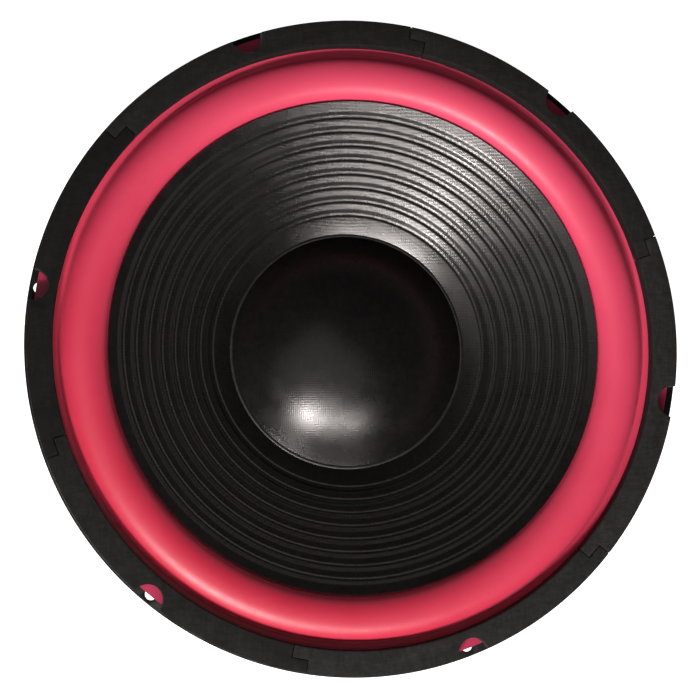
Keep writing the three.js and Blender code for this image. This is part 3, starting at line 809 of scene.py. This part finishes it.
def window_outline():
    """Opening between two legs: parallel to both legs, round at its corners, centred on +X."""
    corner = 8

    def point(radius, side):
        half = SECTOR / 2 - math.degrees(math.asin(LEG_HALF_WIDTH / radius))
        return polar(radius, side * half)

    corners = [point(WINDOW_INNER_R, -1), point(WINDOW_OUTER_R, -1), point(WINDOW_OUTER_R, 1),
               point(WINDOW_INNER_R, 1)]
    sides = []
    sides.append([corners[0].lerp(corners[1], t / 8) for t in range(9)])
    outer_half = math.degrees(math.atan2(corners[2].y, corners[2].x))
    sides.append([polar(WINDOW_OUTER_R, -outer_half + outer_half * t / 12) for t in range(25)])
    sides.append([corners[2].lerp(corners[3], t / 8) for t in range(9)])
    inner_half = math.degrees(math.atan2(corners[3].y, corners[3].x))
    sides.append([polar(WINDOW_INNER_R, inner_half - inner_half * t / 12) for t in range(25)])
    outline = []
    for k, side in enumerate(sides):
        middle = [p for p in side if (p - side[0]).length > corner and (p - side[-1]).length > corner]
        following = sides[(k + 1) % 4]
        turn = side[-1]
        before = turn + (middle[-1] - turn).normalized() * corner
        after_point = [p for p in following if (p - turn).length > corner][0]
        after = turn + (after_point - turn).normalized() * corner
        outline += middle + bend(before, turn, after, 6)
    return outline


def emboss_legs(mesh):
    """Presses a shallow stiffening channel into each leg, towards the inside."""
    outward = Vector((LEG_HIGH[1] - LEG_LOW[1], 0, LEG_LOW[0] - LEG_HIGH[0])).normalized()
    run_in = (LEG_LOW[0] + 1, LEG_LOW[0] + 9)
    run_out = (LEG_HIGH[0] - 11, LEG_HIGH[0] - 2)
    channel = 1.6
    floor_half = 3
    half_width = 6
    for vertex in mesh.vertices:
        radius = vertex.co.xy.length / MM
        ends = smoothstep(*run_in, radius) * (1 - smoothstep(*run_out, radius))
        if ends <= 0:
            continue
        degrees = math.degrees(math.atan2(vertex.co.y, vertex.co.x))
        offset = (degrees - LEG_ANGLE + SECTOR / 2) % SECTOR - SECTOR / 2
        across = abs(radius * math.sin(math.radians(offset)))
        depth = channel * ends * (1 - smoothstep(floor_half, half_width, across))
        if depth <= 0:
            continue
        push = polar(-outward.x * depth, degrees, -outward.z * depth)
        vertex.co += push * MM


def make_basket():
    flange_z = SURROUND_LOW_Z - 0.3 - STEEL / 2
    floor_z = low_high("basket")[0].z + STEEL / 2
    rim_r = OUTER_R - STEEL / 2
    path = [(29.5, floor_z), (38, floor_z), (56, floor_z), (60, floor_z), (63.5, floor_z + 1.4),
            (65.8, floor_z + 4.5), (68.2, SHELF_Z - 2.2), (68.9, SHELF_Z - 0.5), (70.2, SHELF_Z),
            (76, SHELF_Z), (83.5, SHELF_Z), (86, SHELF_Z + 0.8), LEG_LOW]
    leg_parts = 24
    for i in range(1, leg_parts):
        path.append(Vector(LEG_LOW).lerp(Vector(LEG_HIGH), i / leg_parts))
    path += [LEG_HIGH, (135.8, 112.4), (137.4, 116), (138.4, flange_z - 4), (138.9, flange_z - 1.2),
             (140.4, flange_z), (146, flange_z), (rim_r, flange_z), (rim_r, flange_z - 3.2)]
    mesh = lathe_mesh("basket_pressing", sheet(path, STEEL), 288)
    lean_out(mesh, SCREW_CIRCLE_R, RIM_REACH, RIM_LEAN, RIM_LEAN_ANGLE)
    emboss_legs(mesh)
    basket = as_object("basket_pressing", mesh)
    tools = []
    circle = [polar(SCREW_HOLE_R, k * 15) + polar(SCREW_CIRCLE_R, 0) for k in range(24)]
    for i in range(SCREW_COUNT):
        spin = Matrix.Rotation(math.radians(SCREW_ANGLE + i * SECTOR), 4, "Z")
        window = prism("window", window_outline(), SHELF_Z + STEEL, flange_z - 12)
        hole = prism("hole", circle, flange_z - 4, flange_z + 4)
        for tool in (window, hole):
            tool.data.transform(spin)
            tools.append(tool)
    cut(basket, joined("openings", tools))
    bevelled(basket, 0.3, 2, 50)
    settle(basket, enamel_paint(), "frame", "basket_paint", "basket")


# ---------------------------------------------------------------- motor and suspension

def make_spider():
    """Corrugated disc, round waves between a flat rim and the coil former."""
    low, high = low_high("spider")
    rim_z = SHELF_Z + STEEL / 2 + 0.6
    middle_z = (low.z + high.z) / 2
    swing = (high.z - low.z) / 2 - 0.5
    first_r = 73.0
    last_r = 33.0
    waves = 4.25
    cloth_thick = 0.55
    path = [(SPIDER_R - 0.4, rim_z), (75.5, rim_z)]
    parts = 96
    for i in range(parts + 1):
        t = i / parts
        radius = first_r + (last_r - first_r) * t
        ease = smoothstep(0, 0.06, t)
        wave = middle_z + swing * math.sin(TURN * (waves * t) - 0.4)
        path.append((radius, rim_z * (1 - ease) + wave * ease))
    path += [(30.5, path[-1][1]), (FORMER_R + 0.6, path[-1][1] + 0.2)]
    spider = lathe("spider_disc", sheet(path, cloth_thick), 160, 60)
    spider.data.materials.append(spider_paint())
    blend_radially(spider)
    finish_names(spider, "spider_cloth", "spider")


def make_former():
    low, high = low_high("voice_coil_former")
    inner = FORMER_R - 0.4
    outline = [(inner, low.z), (FORMER_R, low.z), (FORMER_R, high.z), (inner, high.z)]
    former = lathe("former_tube", outline, 128)
    settle(former, film_paint(), "cone_assembly", "former_film", "voice_coil_former")


def make_winding():
    winding = ring_like("voice_coil_winding", "coil_turns", FORMER_R + 0.1, 0.3, 4, 128, 40)
    settle(winding, wire_paint(), "cone_assembly", "coil_wire", "voice_coil_winding")


def make_glue_fillets():
    """Brown adhesive where the spider and the cone neck meet the former."""
    spider_low, spider_high = low_high("spider")
    middle = (spider_low.z + spider_high.z) / 2
    neck = cone_z(CONE_NECK_R) - PAPER / 2 - 1.3
    for name, z, height, reach in (("spider_glue", middle + 0.6, 2.2, 2.6), ("neck_glue", neck, 3.4, 2.4)):
        outline = [(FORMER_R + 0.05, z - height / 2), (FORMER_R + reach * 0.4, z - height / 5),
                   (FORMER_R + reach, z + height * 0.1), (FORMER_R + reach * 0.4, z + height * 0.3),
                   (FORMER_R + 0.05, z + height / 2)]
        fillet = lathe(name, rounded(outline, 0.6), 96, 60)
        resin = glue_paint(name + "_resin", (0.10, 0.045, 0.014), 0.3)
        settle(fillet, resin, "cone_assembly", "former_film")


def make_magnet_boot():
    """Moulded cover with rounded edges and three shallow grooves."""
    top = low_high("magnet_boot")[1].z
    outer = radius_of("magnet_boot")
    wall = 2.5
    inner = outer - wall
    lip = top - 1.6
    lip_r = 64
    opening_r = 52
    outline = rounded([(opening_r, 0), (outer, 0), (outer, top), (lip_r, top), (lip_r, lip), (inner, lip),
                       (inner, wall), (opening_r, wall)], 1.1, 5)
    boot = lathe("boot_moulding", with_grooves(outline, outer), ROUND, 45)
    settle(boot, rubber_paint(), "frame", "boot_rubber", "magnet_boot")


def with_grooves(outline, outer):
    """Adds grooves to the straight outer wall of an outline."""
    depth = 0.7
    half_width = 0.9
    heights = [8, 16.5, 25]
    result = []
    for here, following in zip(outline, outline[1:] + outline[:1]):
        result.append(here)
        rise = following[1] - here[1]
        on_wall = abs(here[0] - outer) < 0.01 and abs(following[0] - outer) < 0.01
        if not on_wall or abs(rise) < 10:
            continue
        way = 1 if rise > 0 else -1
        for height in heights[::way]:
            for step in range(7):
                t = step / 6
                side = way * half_width * (2 * t - 1)
                result.append((outer - depth * math.sin(math.pi * t), height + side))
    return result


def make_yoke():
    """Back plate and vented pole in one, with a seat for the vent screen."""
    low, high = low_high("yoke")
    outer = radius_of("yoke")
    plate_top = low.z + 8
    seat = low.z + 2.2
    seat_r = 13
    pole_r = 24.8
    vent_r = 9
    outline = rounded([(seat_r, low.z), (outer, low.z), (outer, plate_top), (pole_r, plate_top),
                       (pole_r, high.z), (vent_r, high.z), (vent_r, seat), (seat_r, seat)], 1.4, 5)
    yoke = lathe("yoke_forging", outline, ROUND, 45)
    settle(yoke, turned_steel_paint("zinc_steel", ZINC, 0.32), "frame", "zinc_steel", "yoke")


def make_top_plate():
    plate = ring_like("top_plate", "top_plate_ring", 27.8, 0.5, 3)
    steel = turned_steel_paint("zinc_steel_plate", (0.60, 0.58, 0.52), 0.36)
    settle(plate, steel, "frame", "zinc_steel", "top_plate")


def make_magnet():
    magnet = ring_like("magnet", "ferrite_ring", 31, 1.2)
    settle(magnet, ferrite_paint(), "frame", "ferrite", "magnet")


def make_vent_screen():
    """Punched sheet: round holes on a triangular lattice, held by a rim."""
    low, high = low_high("vent_screen")
    outer = radius_of("vent_screen")
    pitch = 2.5
    hole_r = 0.85
    corners = 12
    rows = int(outer / pitch) + 2
    vertices = []
    faces = []
    for row in range(-rows, rows + 1):
        for column in range(-rows, rows + 1):
            centre = Vector(((column + (row % 2) / 2) * pitch, row * pitch * math.sqrt(3) / 2, high.z))
            if centre.xy.length >= outer - 1.6:
                continue
            base = len(vertices)
            for k in range(corners):
                angle = TURN * k / corners
                cell_r = pitch / 2 / math.cos((angle + math.pi / 6) % (math.pi / 3) - math.pi / 6)
                vertices.append((centre + polar(cell_r, math.degrees(angle))) * MM)
                vertices.append((centre + polar(hole_r, math.degrees(angle))) * MM)
                a = base + 2 * k
                b = base + 2 * ((k + 1) % corners)
                faces.append([a, b, b + 1, a + 1])
    mesh = mesh_of("screen", vertices, faces)
    shape = bmesh.new()
    shape.from_mesh(mesh)
    bmesh.ops.remove_doubles(shape, verts=shape.verts, dist=0.02 * MM)
    shape.to_mesh(mesh)
    shape.free()
    lattice = as_object("screen", mesh)
    thicken = lattice.modifiers.new("thickness", "SOLIDIFY")
    thicken.thickness = (high.z - low.z) * MM * 0.6
    thicken.offset = -1
    with_modifiers_applied(lattice)
    rim = ring_like("vent_screen", "rim", outer - 2.4, 0.2, 2, 64, 40)
    screen = joined("vent_mesh", [lattice, rim])
    steel = metal_paint("screen_steel", (0.20, 0.20, 0.20), 0.42)
    settle(screen, steel, "frame", "screen_steel", "vent_screen")


def make_basket_rivets():
    metal = metal_paint("rivet_zinc", ZINC, 0.34)
    for i in range(RIVET_COUNT):
        low, high = low_high(f"basket_rivet_{i + 1}")
        seat = high.z - 2.2
        shank_r = 2.3
        outline = [(0, low.z), (shank_r, low.z), (shank_r, seat), (4.15, seat), (4.1, seat + 0.7),
                   (3.4, seat + 1.6), (2.2, seat + 2.1), (0, seat + 2.2)]
        rivet = lathe(f"basket_rivet_head_{i + 1}", rounded(outline, 0.3, 3), SMALL_ROUND)
        centre = (low + high) / 2
        shifted(rivet, centre.x, centre.y)
        settle(rivet, metal, "frame", "zinc_steel", f"basket_rivet_{i + 1}")


# ---------------------------------------------------------------- terminals and leads

PRESS = Vector(next(j for j in frame["record"]["behaviour"]["joints"] if j["type"] == "slide"
                    and j["child"] == "positive_button")["axis"]).normalized()
OUTWARD = -PRESS
ALONG = Vector((0, 0, 1)).cross(OUTWARD).normalized()
UP = OUTWARD.cross(ALONG)
SIDES = {"positive": -1, "negative": 1}
POST_SPREAD = 16
BOARD_THICK = 3
EYELET_R = 44
EYELET_ANGLE = 16


def span(node, axis):
    """Lowest and highest reach of a CAD node along an axis, in millimetres."""
    values = [axis.dot(v.co) / MM for v in frame["nodes"][node].data.vertices]
    return min(values), max(values)


BOARD_BASE = span("terminal_board", OUTWARD)[0]


def off_board(node):
    """Nearest and farthest reach of a CAD node, measured outward from the board's inner face."""
    low, high = span(node, OUTWARD)
    return low - BOARD_BASE, high - BOARD_BASE


def board_matrix():
    """Axes of the terminal board: X along the rim, Y up the leg, Z out of the leg from its inner face."""
    middle = [sum(span("terminal_board", axis)) / 2 for axis in (ALONG, UP)]
    origin = ALONG * middle[0] + UP * middle[1] + OUTWARD * BOARD_BASE
    rotation = Matrix((ALONG, UP, OUTWARD)).transposed().to_4x4()
    return Matrix.Translation(origin * MM) @ rotation


def on_board(obj, x=0.0, y=0.0):
    """Moves a piece built at the origin onto the terminal board, by millimetres from its middle."""
    obj.data.transform(board_matrix() @ Matrix.Translation((x * MM, y * MM, 0)))
    return obj


def rounded_rectangle(width, height, corner):
    points = []
    for k, (sx, sy) in enumerate(((1, 1), (-1, 1), (-1, -1), (1, -1))):
        centre = Vector((sx * (width / 2 - corner), sy * (height / 2 - corner), 0))
        for step in range(7):
            points.append(centre + polar(corner, 90 * k + 15 * step))
    return points


def make_terminal_board():
    """Moulded plate with two stepped bosses and raised plus and minus signs."""
    top = BOARD_THICK
    plate = prism("plate", rounded_rectangle(50, 22, 3), 0, top)
    bevelled(plate, 0.5, 3)
    parts = [plate]
    for side in (-1, 1):
        outline = [(2.5, 0.5), (6.6, 0.5), (6.6, top), (6.2, top + 0.4), (6.2, top + 3), (2.5, top + 3)]
        boss = lathe("boss", rounded(outline, 0.4), SMALL_ROUND)
        parts.append(shifted(boss, side * POST_SPREAD, 0))
    signs = [(SIDES["positive"], 3.4, 0.9), (SIDES["positive"], 0.9, 3.4), (SIDES["negative"], 3.4, 0.9)]
    for side, width, height in signs:
        sign = prism("sign", rounded_rectangle(width, height, 0.3), top - 0.2, top + 0.5)
        parts.append(shifted(sign, side * 7.2, 7.4))
    board = on_board(joined("terminal_plate", parts))
    plastic = plastic_paint("board_plastic", (0.016, 0.016, 0.0165), 0.45)
    settle(board, plastic, "frame", "board_plastic", "terminal_board")


def make_terminal_rivets():
    metal = metal_paint("nickel_rivets", (0.62, 0.60, 0.54), 0.3)
    out = BOARD_THICK
    back = -STEEL - 0.9
    shank_r = 1.6
    for index, y in ((1, 7), (2, -7)):
        outline = [(0, back - 1), (2.8, back - 1), (2.8, back), (shank_r, back), (shank_r, out + 0.1),
                   (3, out + 0.1), (2.9, out + 0.7), (2.1, out + 1.4), (0, out + 1.6)]
        rivet = on_board(lathe(f"board_rivet_{index}", rounded(outline, 0.25, 3), 32), 0, y)
        settle(rivet, metal, "frame", "nickel", f"terminal_rivet_{index}")


def make_posts():
    """Turned posts with a collar, a slotted head and a solder tab behind the board."""
    metal = metal_paint("nickel", (0.66, 0.63, 0.56), 0.22)
    for pole, side in SIDES.items():
        node = f"terminal_post_{pole}"
        tab_end, head = off_board(node)
        shank_r = 2.2
        collar_r = 3.4
        head_r = 4
        outline = rounded([(0, -1.5), (collar_r, -1.5), (collar_r, -0.3), (shank_r, -0.3),
                           (shank_r, head - 1.6), (head_r, head - 1.6), (head_r, head - 0.5),
                           (3.2, head), (0, head)], 0.25, 3)
        post = lathe("post", outline, SMALL_ROUND)
        tab = prism("tab", rounded_rectangle(5, 0.8, 0.2), tab_end, -1.0)
        bevelled(tab, 0.15, 2)
        cut(post, prism("slot", rounded_rectangle(10, 1.0, 0.2), head - 0.7, head + 1))
        whole = on_board(joined(f"post_{pole}", [post, tab]), side * POST_SPREAD)
        settle(whole, metal, "frame", "nickel", node)


def make_buttons():
    """Fluted caps that slide on the posts."""
    paints = {"positive": plastic_paint("button_red", (0.46, 0.008, 0.012), 0.22, 0.01),
              "negative": plastic_paint("button_black", (0.010, 0.010, 0.0105), 0.22, 0.01)}
    flutes = 18
    flute_depth = 0.35
    outer = 5.45
    spring_r = 4.2
    hole_r = 2.6
    roof = 2.4
    for pole, side in SIDES.items():
        node = f"push_button_{pole}"
        low, high = off_board(node)
        outline = rounded([(spring_r, low), (outer, low), (outer, high), (hole_r, high),
                           (hole_r, high - roof), (spring_r, high - roof)], 0.5, 4)
        button = lathe("button", outline, 144)
        for vertex in button.data.vertices:
            radius = vertex.co.xy.length / MM
            height = vertex.co.z / MM
            if radius > 5.0 and low + 0.2 < height < high - 0.4:
                angle = math.atan2(vertex.co.y, vertex.co.x)
                depth = flute_depth * max(math.cos(flutes * angle), 0) ** 0.5
                vertex.co.xy *= (radius - depth) / radius
        button = on_board(button, side * POST_SPREAD)
        button.name = f"press_cap_{pole}"
        slot = "button_red" if pole == "positive" else "button_black"
        settle(button, paints[pole], f"{pole}_button", slot, node)


def make_springs():
    """Small compression springs under the caps."""
    metal = metal_paint("spring_steel", (0.60, 0.60, 0.60), 0.2)
    wire = 0.33
    coil_r = 3.25
    turns = 4.5
    steps = int(turns * 20)
    for pole, side in SIDES.items():
        node = f"button_spring_{pole}"
        low, high = off_board(node)
        points = []
        for i in range(steps + 1):
            t = i / steps
            rise = smoothstep(-0.1, 1.1, t)
            points.append(polar(coil_r, 360 * turns * t, low + wire + (high - low - 2 * wire) * rise))
        spring = as_object(f"spring_{pole}", tube_mesh("spring", points, wire, 8))
        on_board(spring, side * POST_SPREAD)
        spring.data.materials.append(metal)
        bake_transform(spring)
        finish_names(spring, "spring_steel", node)


def terminal_angle():
    return math.degrees(math.atan2(OUTWARD.y, OUTWARD.x))


def lead_route(side):
    """Middle line of a lead: solder tab, basket window, loop behind the cone, eyelet."""
    pole = "positive" if side < 0 else "negative"
    tab_end = off_board(f"terminal_post_{pole}")[0]
    matrix = board_matrix()
    tab = matrix @ Vector((side * POST_SPREAD * MM, 0, (tab_end - 0.1) * MM)) / MM
    clear = matrix @ Vector((side * POST_SPREAD * MM, 0, (tab_end - 4.4) * MM)) / MM
    middle = terminal_angle()
    wall = math.hypot(1, CONE_SLOPE)

    def behind(distance):
        radius = EYELET_R + distance * CONE_SLOPE / wall
        return polar(radius, middle + side * EYELET_ANGLE, cone_z(EYELET_R) - distance / wall)

    return smooth_curve([
        tab,
        clear,
        polar(86, middle + side * 12, 97),
        polar(70, middle + side * 14, 89),
        polar(56, middle + side * 16, 83),
        behind(7),
        behind(1.9),
    ], 16)


def make_leads():
    """Three strands of tinsel twisted together along the route."""
    braid = braid_paint()
    for pole, side in SIDES.items():
        route = lead_route(side)
        strands = []
        for strand in range(3):
            points = []
            side_way = Vector((0, 0, 1))
            for i, point in enumerate(route):
                along = (route[min(i + 1, len(route) - 1)] - route[max(i - 1, 0)]).normalized()
                side_way = (side_way - along * side_way.dot(along)).normalized()
                other = along.cross(side_way)
                angle = TURN * (strand / 3 + i / 9)
                points.append(point + (side_way * math.cos(angle) + other * math.sin(angle)) * 0.5)
            strands.append(as_object("strand", tube_mesh("strand", points, 0.55, 8)))
        lead = joined(f"tinsel_{pole}", strands)
        lead.data.materials.append(braid)
        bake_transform(lead)
        finish_names(lead, "tinsel_braid", f"tinsel_lead_{pole}")


def make_eyelets():
    """Rivets through the cone, with a blob of solder on the back."""
    metal = metal_paint("eyelet_nickel", (0.64, 0.60, 0.52), 0.28)
    lean = Matrix.Rotation(-math.atan(CONE_SLOPE), 4, "Y")
    front = PAPER / 2
    back = -front
    outline = [(0, back - 2.0), (1.3, back - 1.8), (2.6, back - 0.9), (3.2, back - 0.5),
               (3.2, back - 0.1), (2, back - 0.1), (2, front + 0.1), (3.2, front + 0.1),
               (2.9, front + 0.6), (0, front + 0.9)]
    place = Matrix.Translation((EYELET_R * MM, 0, cone_z(EYELET_R) * MM))
    for pole, side in SIDES.items():
        eyelet = lathe(f"eyelet_{pole}", rounded(outline, 0.3, 3), 32)
        spin = Matrix.Rotation(math.radians(terminal_angle() + side * EYELET_ANGLE), 4, "Z")
        eyelet.data.transform(spin @ place @ lean)
        settle(eyelet, metal, "cone_assembly", "nickel", f"lead_eyelet_{pole}")


# ---------------------------------------------------------------- stage

LAMP_COLOR = (1.0, 0.93, 0.90)
WALL_LIGHT = 0.3
CEILING_LIGHT = 0.012

VIEW_TILT = 10.5  # degrees between the driver's axis and the line of sight
VIEW_TURN = 210.0  # direction in which the camera stands off the axis
VIEW_DISTANCE = 0.95
LENS_WIDTHS = 2.878  # focal length in picture widths
FRAMING = (-0.0105, -0.0066)  # camera shift that puts the driver where the picture has it


def make_floor():
    """Very wide and bright, a little below the boot's base, so that the two don't touch."""
    half = 40.0
    z = -0.1 * MM
    corners = [(-half, -half, z), (half, -half, z), (half, half, z), (-half, half, z)]
    floor = as_object("floor", mesh_of("floor", corners, [(0, 1, 2, 3)]))
    paint = Paint("pale_floor", (0.82, 0.82, 0.82), 0.9, Specular_IOR_Level=0.2)
    paint.shader.inputs["Emission Color"].default_value = (1, 1, 1, 1)
    paint.shader.inputs["Emission Strength"].default_value = 1.0
    floor.data.materials.append(paint.material)


def make_light(name, direction, distance, width, height, watts):
    """Rectangular soft box aimed at the middle of the driver's front."""
    light = bpy.data.lights.new(name, "AREA")
    light.shape = "RECTANGLE"
    light.size = width
    light.size_y = height
    light.energy = watts
    light.color = LAMP_COLOR
    lamp = bpy.data.objects.new(name, light)
    target = Vector((0, 0, GASKET_TOP_Z * MM))
    way = Vector(direction).normalized()
    lamp.location = target + way * distance
    lamp.rotation_euler = way.to_track_quat("Z", "Y").to_euler()
    bpy.context.scene.collection.objects.link(lamp)


def toward(off_axis, turn):
    """Direction that leans off the driver's axis, towards an angle in the front view."""
    lean = math.radians(off_axis)
    flat = polar(math.sin(lean), turn)
    return flat.x, flat.y, math.cos(lean)


def make_lights():
    make_light("key_box", toward(50, 243), 1.5, 0.22, 0.2, 14.5)
    make_light("low_window", toward(48, 267), 1.5, 1.0, 0.2, 11)
    make_light("front_fill", toward(19, 225), 1.5, 1.6, 1.4, 3.0)


def make_world():
    """Pale studio walls round the horizon that darken towards the ceiling."""
    world = bpy.data.worlds.new("studio")
    world.use_nodes = True
    nodes = world.node_tree.nodes
    links = world.node_tree.links
    direction = nodes.new("ShaderNodeTexCoord")
    parts = nodes.new("ShaderNodeSeparateXYZ")
    height = nodes.new("ShaderNodeMapRange")
    height.interpolation_type = "SMOOTHSTEP"
    height.inputs["From Min"].default_value = 0.12
    height.inputs["From Max"].default_value = 0.5
    height.inputs["To Min"].default_value = WALL_LIGHT
    height.inputs["To Max"].default_value = CEILING_LIGHT
    links.new(direction.outputs["Generated"], parts.inputs[0])
    links.new(parts.outputs["Z"], height.inputs["Value"])
    links.new(height.outputs[0], nodes["Background"].inputs["Strength"])
    nodes["Background"].inputs["Color"].default_value = (1, 1, 1, 1)
    bpy.context.scene.world = world


def make_camera():
    camera = bpy.data.cameras.new("camera")
    camera.lens = camera.sensor_width * LENS_WIDTHS
    camera.shift_x, camera.shift_y = FRAMING
    obj = bpy.data.objects.new("camera", camera)
    target = Vector((0, 0, GASKET_LOW_Z * MM))
    way = Vector(toward(VIEW_TILT, VIEW_TURN))
    obj.location = target + way * VIEW_DISTANCE
    right = Vector((0, 1, 0)).cross(way).normalized()
    up = way.cross(right)
    obj.matrix_world = Matrix.Translation(obj.location) @ Matrix((right, up, way)).transposed().to_4x4()
    bpy.context.scene.collection.objects.link(obj)
    bpy.context.scene.camera = obj


# ---------------------------------------------------------------- the scene

make_floor()
make_lights()
make_world()
make_camera()
bpy.context.scene.view_settings.view_transform = "Standard"

make_cone()
make_dust_cap()
make_glue_bead()
make_surround()
for segment_index in range(SCREW_COUNT):
    make_gasket_segment(segment_index)
make_basket()
make_spider()
make_former()
make_winding()
make_glue_fillets()
make_magnet_boot()
make_yoke()
make_top_plate()
make_magnet()
make_vent_screen()
make_basket_rivets()
make_terminal_board()
make_terminal_rivets()
make_posts()
make_buttons()
make_springs()
make_leads()
make_eyelets()
